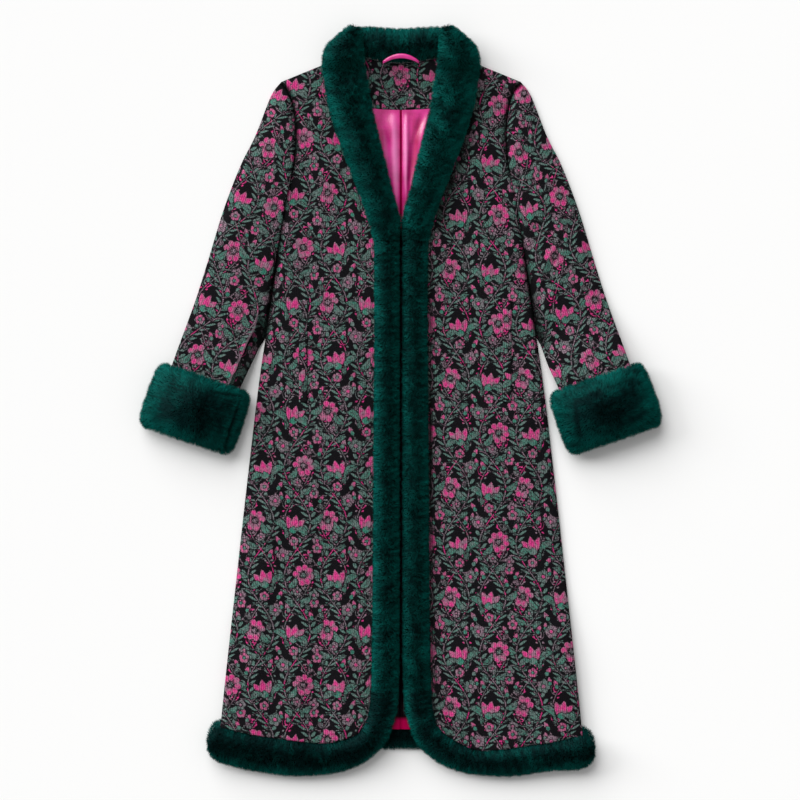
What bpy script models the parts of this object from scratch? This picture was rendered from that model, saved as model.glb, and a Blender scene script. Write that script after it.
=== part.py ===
"""Opera coat laid flat on its back, front uppermost.

The coat lies in the XY plane, collar towards +Y, with +Z up from the surface it rests on.
The origin is on that surface, under the middle of the coat. Sizes are in millimetres and
become metres when a point is placed. Sides are the wearer's own: the left side is at +X.

Jacquard panels and sleeve tubes are thin walls, the satin lining is a thinner one, and each
fur trim is a strip or a cuff as thick as its pile.
"""

import math
from typing import NamedTuple

import bmesh
import bpy

MM = 0.001
MERGE = 0.003 * MM
SHARP_DEGREES = 50
SIDES = {"left": 1, "right": -1}

# Walls, gaps and the stack of layers, from the surface up
SHELL = 3.0
SATIN = 1.0
FACING = 1.2
SEAM = 0.3
EDGE_GAP = 0.8
STAND_GAP = 2.5
ARMHOLE_GAP = 1.8
BACK_TOP = SHELL
LINING_FLOOR = BACK_TOP + SEAM
LAYER_GAP = 1.3
FRONT_FLOOR = LINING_FLOOR + SATIN + LAYER_GAP

# Landmarks of the cut: distance from the centre line and level along Y
NECK_HALF, NECK_LEVEL, NECK_DIP = 84.0, 609.0, 17.5
SHOULDER_HALF, SHOULDER_LEVEL = 210.0, 558.0
UNDERARM_LEVEL = 345.0
LINING_END_LEVEL = -577.0
FACING_HALF, FACING_DEPTH, FACING_SAG = 96.0, 73.0, 9.0

# The fur hem of the back lifts the layers that lie over it
HEM_RISE, HEM_RISE_START, HEM_RISE_END = 9.2, -300.0, -480.0

# Pile heights of the fur that has no table
STAND_PILE, BACK_HEM_PILE = 20.0, 12.0

# Section of a fur strip: roundness of its crown, and the crown's share of the way round
PILE_CROWN, CROWN_SHARE = 0.6, 0.72


class SideRow(NamedTuple):
    level: float
    half_width: float


class FrontEdgeRow(NamedTuple):
    level: float
    inner: float


class HemEdgeRow(NamedTuple):
    across: float
    level: float


class FurRow(NamedTuple):
    level: float
    inner: float
    outer: float
    pile: float


class HemRow(NamedTuple):
    station: float
    free_x: float
    free_y: float
    cloth_x: float
    cloth_y: float
    free_under: float
    pile: float


class SleeveRow(NamedTuple):
    station: float
    outer_x: float
    outer_y: float
    inner_x: float
    inner_y: float
    under: float


class FoldRow(NamedTuple):
    top_x: float
    top_level: float
    bottom_x: float
    bottom_level: float
    width: float
    height: float


class CreaseRow(NamedTuple):
    station: float
    across: float
    slant: float
    width: float
    reach: float
    height: float


# Armhole from the shoulder tip to the underarm, then the side seam down to the hem
BODY_SIDE = [
    SideRow(558, 210),
    SideRow(542, 197),
    SideRow(514, 188),
    SideRow(475, 184),
    SideRow(440, 185),
    SideRow(406, 190),
    SideRow(380, 199),
    SideRow(345, 207),
    SideRow(297, 212),
    SideRow(210, 223),
    SideRow(122, 236),
    SideRow(33, 249),
    SideRow(-100, 265),
    SideRow(-350, 293),
    SideRow(-577, 317),
    SideRow(-640, 323),
]

# Edge of a front next to the fur: along the band, then hidden under the turned collar
FRONT_EDGE = [
    FrontEdgeRow(609, 84),
    FrontEdgeRow(560, 88),
    FrontEdgeRow(514, 86),
    FrontEdgeRow(436, 66),
    FrontEdgeRow(364, 47),
    FrontEdgeRow(330, 43),
    FrontEdgeRow(279, 46.8),
    FrontEdgeRow(122, 46.3),
    FrontEdgeRow(-33, 47.3),
    FrontEdgeRow(-350, 49.3),
    FrontEdgeRow(-507, 51.9),
    FrontEdgeRow(-640, 51.9),
]

# Lower edge of a front from the rounded front corner (across 0) to the side seam (across 1)
HEM_EDGE = [
    HemEdgeRow(0.0, -506),
    HemEdgeRow(0.011, -538),
    HemEdgeRow(0.041, -567),
    HemEdgeRow(0.09, -584),
    HemEdgeRow(0.184, -595.5),
    HemEdgeRow(0.327, -601.5),
    HemEdgeRow(0.52, -596),
    HemEdgeRow(0.73, -588.5),
    HemEdgeRow(1.0, -574.5),
]

# Turned-back half of the shawl collar, from its top beside the neck to the end of the V
COLLAR = [
    FurRow(658, 72, 78, 3),
    FurRow(655, 70, 90, 10),
    FurRow(646, 69, 102, 17),
    FurRow(632, 67.5, 117, 21),
    FurRow(613, 66, 132, 22),
    FurRow(592, 64, 137, 22),
    FurRow(560, 59, 133, 22),
    FurRow(514, 51.5, 125, 22),
    FurRow(465, 40, 110, 22),
    FurRow(406, 25, 88, 22),
    FurRow(364, 15, 72, 21.5),
    FurRow(330, 5, 60, 21),
    FurRow(311, 0.8, 53.5, 20.5),
    FurRow(280.3, 0.8, 46, 20),
]

# The collar's underside: gap below it, its place clear of the armhole's roll, and where it climbs the stand
COLLAR_GAP, COLLAR_CLEAR = 0.5, 20.0
COLLAR_CLIMB_START, COLLAR_CLIMB_END = 572.0, 600.0
COLLAR_ROW_EASE = 1.25

# Straight fur band down a front edge
BAND = [
    FurRow(280, 0.8, 46, 20),
    FurRow(122, 0.8, 45.5, 20),
    FurRow(-33, 0.8, 46.5, 20),
    FurRow(-350, 0.9, 48.5, 20),
    FurRow(-470, 1.4, 50, 20),
    FurRow(-506.7, 2.8, 51, 20),
]

# Fur hem of a front: round the corner from the band, then along the hem to the side
HEM = [
    HemRow(0, 2.8, -507, 51, -507, 14.8, 20),
    HemRow(1, 6, -538, 53, -540, 15.0, 20),
    HemRow(2, 14, -567, 57, -557, 15.0, 20),
    HemRow(3, 24, -592, 63, -572, 14.6, 20),
    HemRow(4, 40, -613, 72.5, -584.5, 11, 20),
    HemRow(5, 62, -632, 87.5, -593.5, 8.5, 20),
    HemRow(6, 93, -646.5, 108, -599.5, 7, 20),
    HemRow(7, 131, -655, 138, -603, 6, 20),
    HemRow(8, 184, -658, 186, -598, 6, 20),
    HemRow(9, 245, -651, 245, -590.5, 8, 20),
    HemRow(10, 300, -639, 297, -580, 11.5, 20),
    HemRow(11, 320, -632, 319, -575.5, 13, 19),
    HemRow(12, 331, -622, 331, -583, 13.5, 16),
    HemRow(13, 337.5, -607, 337.5, -598, 13.9, 9),
]

# Cross-lines of a sleeve from the armhole to inside the cuff, and the height of its underside
SLEEVE = [
    SleeveRow(0.0, 211, 559, 208.5, 345, 0),
    SleeveRow(0.09, 232, 519, 215.5, 296, 0),
    SleeveRow(0.20, 257, 462, 221.5, 250, 0),
    SleeveRow(0.29, 280, 416, 227, 213, 0),
    SleeveRow(0.43, 311, 336, 234, 163, 0),
    SleeveRow(0.57, 340.5, 240, 241, 117, 0),
    SleeveRow(0.66, 361, 175, 247.5, 96, 1.5),
    SleeveRow(0.78, 393.0, 84.5, 274.8, 35.5, 12.4),
    SleeveRow(0.82, 402.6, 57.6, 283.2, 16.9, 12.4),
    SleeveRow(1.0, 437.6, -44.4, 318.2, -85.1, 12.4),
]
SLEEVE_STATIONS = [0.0, 0.05, 0.11, 0.19, 0.27, 0.36, 0.45, 0.55, 0.64, 0.71, 0.78, 0.82, 1.0]
SLEEVE_HEIGHT = 8.4
ARMHOLE_REACH, PUFF_REACH = 0.34, 0.07

# A sleeve's upper layer stands full, and lies flat again where it enters the cuff
SLEEVE_CROWN, SLEEVE_CROWN_IN_CUFF = 6.5, 1.4
CROWN_FADE_START, CROWN_FADE_END = 0.58, 0.75
SLEEVE_ROUND, SLEEVE_ROUND_ROOT = 3.0, 0.7
CREASE_BELL = 3.0

# Soft folds of a front, as long ridges that widen down the skirt
FOLDS = [
    FoldRow(92, 190, 112, -600, 46, 3.6),
    FoldRow(150, 60, 188, -600, 56, 4.4),
    FoldRow(205, 20, 262, -600, 44, 3.8),
    FoldRow(150, 520, 120, 330, 40, 2.4),
    FoldRow(205, 330, 196, 190, 30, 2.6),
]
FOLD_BELL = 3.0
FOLD_RISE_ABOVE, FOLD_RISE_BELOW = 20.0, 150.0
FOLD_END_BELOW, FOLD_END_ABOVE, FOLD_END_LOWEST = 20.0, 90.0, 145.0

# A front rolls down towards the side seam, from the underarm on
SIDE_ROLL, SIDE_ROLL_WIDTH = 1.1, 16.0
SIDE_ROLL_ABOVE, SIDE_ROLL_BELOW = 10.0, 40.0

# Bends across a sleeve, near the armhole, the elbow and the cuff
CREASES = [
    CreaseRow(0.26, 0.72, 0.20, 0.030, 0.42, 1.6),
    CreaseRow(0.45, 0.60, -0.16, 0.032, 0.46, 2.0),
    CreaseRow(0.55, 0.66, 0.14, 0.028, 0.40, 1.8),
    CreaseRow(0.68, 0.42, -0.12, 0.030, 0.44, 1.6),
]

# Fur cuff, turned back over the end of the sleeve
CUFF_CENTRE_X, CUFF_CENTRE_Y = 361.0, -15.75
CUFF_AXIS_X, CUFF_AXIS_Y = 0.324, -0.946
CUFF_LENGTH = 118.0
CUFF_HOLE_HALF, CUFF_HOLE_LOW, CUFF_HOLE_HIGH = 66.0, 12.0, 23.2
CUFF_SIDE_PILE, CUFF_TOP_PILE, CUFF_TOP_CROWN, CUFF_UNDER_PILE = 18.0, 14.5, 3.5, 13.0
CUFF_CROWN = 4.0

# Vertical pocket welt on each front
WELT_X = {"left": 179.0, "right": 164.0}
WELT_WIDTH, WELT_TOP, WELT_BOTTOM = 15.0, 175.0, -4.0
WELT_WALL, WELT_GAP = 1.4, 0.4

# Satin loop at the back of the neck
LOOP_HALF, LOOP_FOOT, LOOP_RISE = 32.0, 594.6, 10.6
LOOP_WIDTH_MID, LOOP_WIDTH_END, LOOP_WALL = 8.0, 5.0, 1.4
LOOP_LIFT_END, LOOP_LIFT_MID, LOOP_LIFT_EASE = 14.6, 20.6, 0.6

# Satin lining: soft ridges each side of the centre-back pleat, seen inside the V
PLEAT_RIDGE, PLEAT_REACH, PLEAT_TOP, PLEAT_BOTTOM = 2.4, 44.0, 500.0, 300.0
PLEAT_FADE_ABOVE, PLEAT_FADE_BELOW, PLEAT_END_FADE = 8.0, 40.0, 60.0
LINING_INSET = 22.0

# Columns of the lining: the share spread evenly, the rest drawn to the pleat, and the facing's reach on them
LINING_EVEN, LINING_FACING = 0.4, 1.6

# Columns of a front stand closer at the rounded corner by this power
COLUMN_EASE = 1.35

# Back fur hem, and the stand of the collar behind the neck
BACK_HEM_CLOTH, BACK_HEM_DEPTH, BACK_HEM_SWEEP, BACK_HEM_HALF = -546.0, 68.0, 14.0, 337.0
SIDE_SEAM_HALF = 317.0
END_SHARE = 0.2
STAND_HALF, STAND_TOP, STAND_SHOULDER, STAND_DROP = 124.0, 654.0, 62.0, 40.0
STAND_ROUND, STAND_END_REACH, STAND_END_THIN = 1.4, 22.0, 0.75

# Plain finishes
JACQUARD_COLOUR, JACQUARD_ROUGHNESS = (0.035, 0.030, 0.034), 0.75
FUR_COLOUR, FUR_ROUGHNESS = (0.003, 0.040, 0.036), 0.9
SATIN_COLOUR, SATIN_ROUGHNESS = (0.62, 0.035, 0.25), 0.35


def lerp(start, end, share):
    """Value at a share of the way from start to end."""
    return start + (end - start) * share


def ease(start, end, value):
    """Smooth step from 0 at start to 1 at end, which may run either way."""
    share = min(1.0, max(0.0, (value - start) / (end - start)))
    return share * share * (3 - 2 * share)


def through(rows, column, station):
    """Column's value at a station, on the smooth curve through a table's rows."""
    ordered = sorted(rows)
    places = [row[0] for row in ordered]
    values = [getattr(row, column) for row in ordered]
    station = min(places[-1], max(places[0], station))
    i = max(k for k in range(len(places) - 1) if places[k] <= station)
    rises = [(b - a) / (q - p) for a, b, p, q in zip(values, values[1:], places, places[1:])]

    def slope(k):
        if k == 0 or k == len(rises):
            return rises[min(k, len(rises) - 1)]
        before, after = rises[k - 1], rises[k]
        return 0.0 if before * after <= 0 else 2 * before * after / (before + after)

    span = places[i + 1] - places[i]
    t = (station - places[i]) / span
    start_pull, end_pull = slope(i) * span, slope(i + 1) * span
    cubic = (2 * t - 3) * t * t
    return (
        values[i] * (cubic + 1)
        - values[i + 1] * cubic
        + start_pull * t * (t - 1) ** 2
        + end_pull * t * t * (t - 1)
    )


def side_edge(level):
    """Distance of the armhole or side seam from the centre line."""
    return through(BODY_SIDE, "half_width", level)


def neck_edge(x):
    """Level of the neckline and shoulder line at a distance from the centre line."""
    x = abs(x)
    if x <= NECK_HALF:
        return NECK_LEVEL - NECK_DIP * (1 - (x / NECK_HALF) ** 2)
    return lerp(NECK_LEVEL, SHOULDER_LEVEL, (x - NECK_HALF) / (SHOULDER_HALF - NECK_HALF))


def facing_edge(x):
    """Level where the neck facing ends and the lining begins."""
    return NECK_LEVEL - NECK_DIP - FACING_DEPTH - FACING_SAG * (1 - (x / FACING_HALF) ** 2)


def back_hem_edge(x):
    """Level of the seam between the back and its fur hem."""
    return BACK_HEM_CLOTH - BACK_HEM_SWEEP * (x / SIDE_SEAM_HALF) ** 2


def hem_rise(level):
    """How far the layers above the back hem are lifted at a level."""
    return HEM_RISE * ease(HEM_RISE_START, HEM_RISE_END, level)


def fold_height(x, level):
    """Height of the soft folds of a front at a point."""
    height = 0.0
    for fold in FOLDS:
        share = (level - fold.top_level) / (fold.bottom_level - fold.top_level)
        centre = lerp(fold.top_x, fold.bottom_x, share)
        offset = (x - centre) / fold.width
        fade = ease(fold.top_level + FOLD_RISE_ABOVE, fold.top_level - FOLD_RISE_BELOW, level)
        if fold.bottom_level > FOLD_END_LOWEST:
            fade *= ease(fold.bottom_level - FOLD_END_BELOW, fold.bottom_level + FOLD_END_ABOVE, level)
        height += fold.height * fade * math.exp(-FOLD_BELL * offset * offset)
    return height


def front_top(x, level):
    """Height of a front's outer face at a distance from the centre line and a level."""
    outer = side_edge(level)
    below_arm = ease(UNDERARM_LEVEL + SIDE_ROLL_ABOVE, UNDERARM_LEVEL - SIDE_ROLL_BELOW, level)
    edge = max(0.0, 1 - (outer - x) / SIDE_ROLL_WIDTH)
    roll = SIDE_ROLL * below_arm * edge * edge
    return FRONT_FLOOR + SHELL + hem_rise(level) + fold_height(x, level) * (1 - edge) - roll


def panel_level(share, top, bottom, armhole_share):
    """Level at a share of the way down a panel, with rows set closer round the armhole."""
    if share <= armhole_share:
        return lerp(top, UNDERARM_LEVEL, share / armhole_share)
    return lerp(UNDERARM_LEVEL, bottom, (share - armhole_share) / (1 - armhole_share))


def material(name, colour, roughness):
    """Plain cloth finish."""
    finish = bpy.data.materials.new(name)
    finish.use_nodes = True
    shader = finish.node_tree.nodes["Principled BSDF"]
    shader.inputs["Base Color"].default_value = (*colour, 1.0)
    shader.inputs["Roughness"].default_value = roughness
    shader.inputs["Metallic"].default_value = 0.0
    return finish


def mapped_grid(point, across, along):
    """A grid whose vertices are placed by point(u, v), with u to the right and v down."""
    mesh = bmesh.new()
    bmesh.ops.create_grid(mesh, x_segments=across, y_segments=along, size=1.0)
    for vertex in mesh.verts:
        u, v = (vertex.co.x + 1) / 2, (1 - vertex.co.y) / 2
        vertex.co = [MM * value for value in point(u, v)]
    return mesh


def placed(name, mesh, finish, parts):
    """Turns a bmesh into a named, smooth-shaded object of the coat."""
    data = bpy.data.meshes.new(name)
    mesh.to_mesh(data)
    mesh.free()
    data.shade_smooth()
    data.set_sharp_from_angle(angle=math.radians(SHARP_DEGREES))
    data.materials.append(finish)
    piece = bpy.data.objects.new(name, data)
    parts.objects.link(piece)
    return piece


def walled(piece, wall):
    """Gives an open surface its thickness, inwards from the face that shows."""
    shell = piece.modifiers.new("wall", "SOLIDIFY")
    shell.thickness = wall * MM
    shell.offset = -1.0
    shell.use_even_offset = True
    return piece


def sheet(name, point, across, along, wall, finish, parts):
    """A cloth panel: a grid on the form of its outer face, with a wall below it."""
    return walled(placed(name, mapped_grid(point, across, along), finish, parts), wall)


def ring(name, point, around, along, finish, parts):
    """A tube with a wall: u runs round the tube, and v along one face and back along the other."""
    mesh = mapped_grid(point, around, along)
    bmesh.ops.remove_doubles(mesh, verts=mesh.verts, dist=MERGE)
    bmesh.ops.recalc_face_normals(mesh, faces=mesh.faces)
    return placed(name, mesh, finish, parts)


def strip(name, point, around, along, finish, parts):
    """A solid strip: u runs round its section, v along it, and both ends are capped."""
    mesh = mapped_grid(point, around, along)
    bmesh.ops.remove_doubles(mesh, verts=mesh.verts, dist=MERGE)
    bmesh.ops.holes_fill(mesh, edges=[edge for edge in mesh.edges if edge.is_boundary], sides=0)
    bmesh.ops.recalc_face_normals(mesh, faces=mesh.faces)
    return placed(name, mesh, finish, parts)


def pile_section(share):
    """Place on a fur strip's section at a share round it: across 0 to 1, and height 0 to 1.

    The first part of the way runs over the crowned pile, the rest back along the flat base.
    """
    if share <= CROWN_SHARE:
        turn = math.pi * share / CROWN_SHARE
        return 0.5 - 0.5 * math.cos(turn), max(0.0, math.sin(turn)) ** PILE_CROWN
    return 1 - (share - CROWN_SHARE) / (1 - CROWN_SHARE), 0.0


def build_back(finish, parts):
    """Back panel, flat on the surface, from the neckline and shoulders to the fur hem."""
    across, armhole_rows, skirt_rows = 12, 8, 9

    def point(u, v):
        place = 2 * u - 1
        top = neck_edge(place * SHOULDER_HALF)
        bottom = back_hem_edge(place * SIDE_SEAM_HALF) + EDGE_GAP
        level = panel_level(v, top, bottom, armhole_rows / (armhole_rows + skirt_rows))
        return place * (side_edge(level) - SEAM), level, BACK_TOP

    return sheet("back", point, across, armhole_rows + skirt_rows, SHELL, finish, parts)


def build_front(side, finish, parts):
    """Front panel on one side, from the shoulder to the fur hem, with its soft folds."""
    across, armhole_rows, skirt_rows = 10, 10, 16
    sign = SIDES[side]

    def point(u, v):
        share = (u if sign > 0 else 1 - u) ** COLUMN_EASE
        top = lerp(NECK_LEVEL, SHOULDER_LEVEL, share) - SEAM
        bottom = through(HEM_EDGE, "level", share)
        level = panel_level(v, top, bottom, armhole_rows / (armhole_rows + skirt_rows))
        x = lerp(through(FRONT_EDGE, "inner", level), side_edge(level), share)
        return sign * x, level, front_top(x, level)

    return sheet(f"front_{side}", point, across, armhole_rows + skirt_rows, SHELL, finish, parts)


def build_lining(finish, parts):
    """Satin back lining from the neck facing to the hem, with its centre-back pleat."""
    across, along = 14, 24

    def point(u, v):
        place = 2 * u - 1
        spread = LINING_EVEN * place + (1 - LINING_EVEN) * place ** 3
        top = facing_edge(FACING_HALF * min(1.0, max(-1.0, LINING_FACING * spread))) - SEAM
        level = lerp(top, LINING_END_LEVEL, v)
        x = spread * (side_edge(level) - LINING_INSET)
        inside = max(0.0, 1 - ((abs(x) - PLEAT_REACH / 2) / (PLEAT_REACH / 2)) ** 2)
        shown = ease(PLEAT_TOP + PLEAT_FADE_ABOVE, PLEAT_TOP - PLEAT_FADE_BELOW, level)
        shown *= ease(PLEAT_BOTTOM, PLEAT_BOTTOM + PLEAT_END_FADE, level)
        height = LINING_FLOOR + SATIN + hem_rise(level) + PLEAT_RIDGE * inside * shown
        return x, level, height

    return sheet("back_lining", point, across, along, SATIN, finish, parts)


def build_facing(finish, parts):
    """Jacquard facing inside the back of the neck."""
    across, along = 10, 3

    def point(u, v):
        x = FACING_HALF * (2 * u - 1)
        return x, lerp(neck_edge(x) - EDGE_GAP, facing_edge(x), v), BACK_TOP + SEAM + FACING

    return sheet("neck_facing", point, across, along, FACING, finish, parts)


def flat_oval(step, upper, fold, under):
    """Place on a flattened tube's section after a number of steps round it.

    The way runs along the upper layer from the outer fold, round the inner fold, back along the
    under layer and round the outer fold. Returns the share across from the outer fold, and the
    direction outwards, across and up.
    """
    if step <= upper:
        return step / upper, 0.0, 1.0
    if step < upper + fold:
        turn = math.pi * (step - upper) / fold
        return 1.0, math.sin(turn), math.cos(turn)
    if step <= upper + fold + under:
        return 1 - (step - upper - fold) / under, 0.0, -1.0
    turn = math.pi * (upper + 2 * fold + under - step) / fold
    return 0.0, -math.sin(turn), math.cos(turn)


def crease_height(station, across):
    """Height of the bends across a sleeve's upper layer."""
    height = 0.0
    for crease in CREASES:
        offset = (station - crease.station - crease.slant * (across - crease.across)) / crease.width
        spread = (across - crease.across) / crease.reach
        height += crease.height * math.exp(-offset * offset - CREASE_BELL * spread * spread)
    return height


def build_sleeve(side, finish, parts):
    """Sleeve tube on one side: a flattened section carried from the armhole into the cuff."""
    upper, fold, under = 10, 3, 10
    around, along = upper + 2 * fold + under, 2 * len(SLEEVE_STATIONS)
    sign = SIDES[side]

    def point(u, v):
        row = round(v * along) % along
        inside = row >= len(SLEEVE_STATIONS)
        station = SLEEVE_STATIONS[along - 1 - row if inside else row]
        wall = SHELL if inside else 0.0
        across, out_x, out_z = flat_oval(u * around, upper, fold, under)
        outer = through(SLEEVE, "outer_x", station), through(SLEEVE, "outer_y", station)
        inner = through(SLEEVE, "inner_x", station), through(SLEEVE, "inner_y", station)
        length = math.dist(outer, inner)
        radius = SLEEVE_HEIGHT / 2
        share = (lerp(radius, length - radius, across) + (radius - wall) * out_x) / length
        x, y = lerp(outer[0], inner[0], share), lerp(outer[1], inner[1], share)
        level = lerp(SHOULDER_LEVEL, UNDERARM_LEVEL, share)
        straight = lerp(SLEEVE[0].outer_x, SLEEVE[0].inner_x, share)
        x += (1 - ease(0.0, ARMHOLE_REACH, station)) * (side_edge(level) + ARMHOLE_GAP - straight)
        height = through(SLEEVE, "under", station) + radius + (radius - wall) * out_z
        if out_z == 1.0:
            crown = lerp(SLEEVE_CROWN, SLEEVE_CROWN_IN_CUFF, ease(CROWN_FADE_START, CROWN_FADE_END, station))
            full = (1 - abs(2 * across - 1) ** SLEEVE_ROUND) ** SLEEVE_ROUND_ROOT
            height += (crown + crease_height(station, across)) * full * ease(0.0, PUFF_REACH, station)
        return sign * x, y, height

    return ring(f"sleeve_{side}", point, around, along, finish, parts)


def build_cuff(side, finish, parts):
    """Fur cuff on one side: a thick pile carried round the flattened end of the sleeve."""
    upper, fold, under, base, pile_steps = 8, 4, 6, 4, 10
    around, along = upper + 2 * fold + under, base + pile_steps
    sign = SIDES[side]
    radius = (CUFF_HOLE_HIGH - CUFF_HOLE_LOW) / 2

    def point(u, v):
        across, out_x, out_z = flat_oval(u * around, upper, fold, under)
        step = v * along
        if step <= base:
            down, pile = step / base, 0.0
        else:
            down = 0.5 + 0.5 * math.cos(math.pi * (step - base) / pile_steps)
            pile = (1 - abs(2 * down - 1) ** CUFF_CROWN) ** (1 / CUFF_CROWN)
        place = lerp(CUFF_HOLE_HALF - radius, radius - CUFF_HOLE_HALF, across)
        middle = 1 - (2 * across - 1) ** 2
        upright = CUFF_UNDER_PILE if out_z < 0 else CUFF_TOP_PILE + CUFF_TOP_CROWN * middle
        sideways = place - out_x * (radius + pile * CUFF_SIDE_PILE)
        height = CUFF_HOLE_LOW + radius + out_z * (radius + pile * upright)
        reach = (down - 0.5) * CUFF_LENGTH
        x = CUFF_CENTRE_X + reach * CUFF_AXIS_X - sideways * CUFF_AXIS_Y
        y = CUFF_CENTRE_Y + reach * CUFF_AXIS_Y + sideways * CUFF_AXIS_X
        return sign * x, y, max(0.0, height)

    return ring(f"cuff_{side}", point, around, along, finish, parts)


def collar_floor(x, level):
    """Height of the turned collar's underside: on the front, then over the stand at the neck."""
    on_front = front_top(min(x, side_edge(level) - COLLAR_CLEAR), level) + COLLAR_GAP
    return lerp(on_front, STAND_PILE + COLLAR_GAP, ease(COLLAR_CLIMB_START, COLLAR_CLIMB_END, level))


def build_collar(side, finish, parts):
    """Turned-back half of the fur collar on one side."""
    around, along = 13, 19
    sign = SIDES[side]

    def point(u, v):
        across, high = pile_section(u)
        level = lerp(COLLAR[0].level, COLLAR[-1].level, v ** COLLAR_ROW_EASE)
        x = lerp(through(COLLAR, "inner", level), through(COLLAR, "outer", level), across)
        return sign * x, level, collar_floor(x, level) + high * through(COLLAR, "pile", level)

    return strip(f"collar_{side}", point, around, along, finish, parts)


def build_stand(finish, parts):
    """Stand of the fur collar behind the neck, under the turned-back halves."""
    around, along = 13, 15

    def point(u, v):
        across, high = pile_section(u)
        x = STAND_HALF * (2 * v - 1)
        drop = STAND_DROP * ease(STAND_SHOULDER, STAND_HALF, abs(x)) ** STAND_ROUND
        level = lerp(neck_edge(x) + STAND_GAP, STAND_TOP - drop, across)
        end = 1 - STAND_END_THIN * ease(STAND_HALF - STAND_END_REACH, STAND_HALF, abs(x))
        return x, level, STAND_PILE * high * end

    return strip("collar_stand", point, around, along, finish, parts)


def build_band(side, finish, parts):
    """Straight fur band down the front edge on one side."""
    around, along = 13, 15
    sign = SIDES[side]

    def point(u, v):
        across, high = pile_section(u)
        level = lerp(BAND[0].level, BAND[-1].level, v)
        x = lerp(through(BAND, "inner", level), through(BAND, "outer", level), across)
        return sign * x, level, FRONT_FLOOR + hem_rise(level) + high * through(BAND, "pile", level)

    return strip(f"front_band_{side}", point, around, along, finish, parts)


def build_hem(side, finish, parts):
    """Fur hem of one front, round the corner from the band and along to the side."""
    around, along = 13, 24
    sign = SIDES[side]

    def point(u, v):
        across, high = pile_section(u)
        station = v * HEM[-1].station
        row = {name: through(HEM, name, station) for name in HemRow._fields[1:]}
        x = lerp(row["free_x"], row["cloth_x"], across)
        y = lerp(row["free_y"], row["cloth_y"], across)
        under = lerp(row["free_under"], FRONT_FLOOR + hem_rise(row["cloth_y"]), across)
        return sign * x, y, under + high * row["pile"]

    return strip(f"hem_band_{side}", point, around, along, finish, parts)


def build_back_hem(finish, parts):
    """Fur hem of the back, flat on the surface below the back panel."""
    around, along = 13, 16

    def point(u, v):
        across, high = pile_section(u)
        place = 2 * v - 1
        x = BACK_HEM_HALF * place
        past = max(0.0, abs(x) - SIDE_SEAM_HALF) / (BACK_HEM_HALF - SIDE_SEAM_HALF)
        end = END_SHARE + (1 - END_SHARE) * math.sqrt(1 - past * past)
        middle = back_hem_edge(x) - BACK_HEM_DEPTH / 2
        reach = BACK_HEM_DEPTH / 2 * end
        return x, lerp(middle - reach, middle + reach, across), BACK_HEM_PILE * high * end

    return strip("hem_band_back", point, around, along, finish, parts)


def build_welt(side, finish, parts):
    """Pocket welt lying on a front."""
    across, along = 2, 8
    sign = SIDES[side]

    def point(u, v):
        share = u if sign > 0 else 1 - u
        x, level = WELT_X[side] + WELT_WIDTH * share, lerp(WELT_TOP, WELT_BOTTOM, v)
        return sign * x, level, front_top(x, level) + WELT_GAP + WELT_WALL

    return sheet(f"pocket_welt_{side}", point, across, along, WELT_WALL, finish, parts)


def build_loop(finish, parts):
    """Satin hanger loop, an arched ribbon in front of the collar's stand."""
    across, along = 2, 12

    def point(u, v):
        place = 2 * u - 1
        arch = 1 - place * place
        width = lerp(LOOP_WIDTH_END, LOOP_WIDTH_MID, arch)
        level = LOOP_FOOT + LOOP_RISE * arch + width * (0.5 - v)
        return LOOP_HALF * place, level, lerp(LOOP_LIFT_END, LOOP_LIFT_MID, arch ** LOOP_LIFT_EASE)

    return sheet("hanger_loop", point, along, across, LOOP_WALL, finish, parts)


def main():
    """Clears the scene and builds the coat, piece by piece, under one empty."""
    for old in list(bpy.data.objects):
        bpy.data.objects.remove(old)
    parts = bpy.data.collections.new("opera_coat")
    bpy.context.scene.collection.children.link(parts)
    jacquard = material("jacquard", JACQUARD_COLOUR, JACQUARD_ROUGHNESS)
    fur = material("fur", FUR_COLOUR, FUR_ROUGHNESS)
    satin = material("satin", SATIN_COLOUR, SATIN_ROUGHNESS)
    build_back(jacquard, parts)
    build_facing(jacquard, parts)
    build_lining(satin, parts)
    build_stand(fur, parts)
    build_back_hem(fur, parts)
    build_loop(satin, parts)
    for side in SIDES:
        build_front(side, jacquard, parts)
        build_sleeve(side, jacquard, parts)
        build_welt(side, jacquard, parts)
        build_cuff(side, fur, parts)
        build_collar(side, fur, parts)
        build_band(side, fur, parts)
        build_hem(side, fur, parts)
    coat = bpy.data.objects.new("coat", None)
    parts.objects.link(coat)
    for piece in parts.objects:
        if piece is not coat:
            piece.parent = coat


main()
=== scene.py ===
"""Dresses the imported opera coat: woven jacquard shells, satin lining and deep plush trims.

The coat lies on its back with its front uppermost, collar towards +Y. Every surface is worked out in
millimetres, in the frame of the solids, and becomes metres when it is put into a mesh.
"""

import logging
import math
from dataclasses import dataclass, field
from enum import Enum
from functools import partial
from typing import Callable, NamedTuple, Sequence

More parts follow.
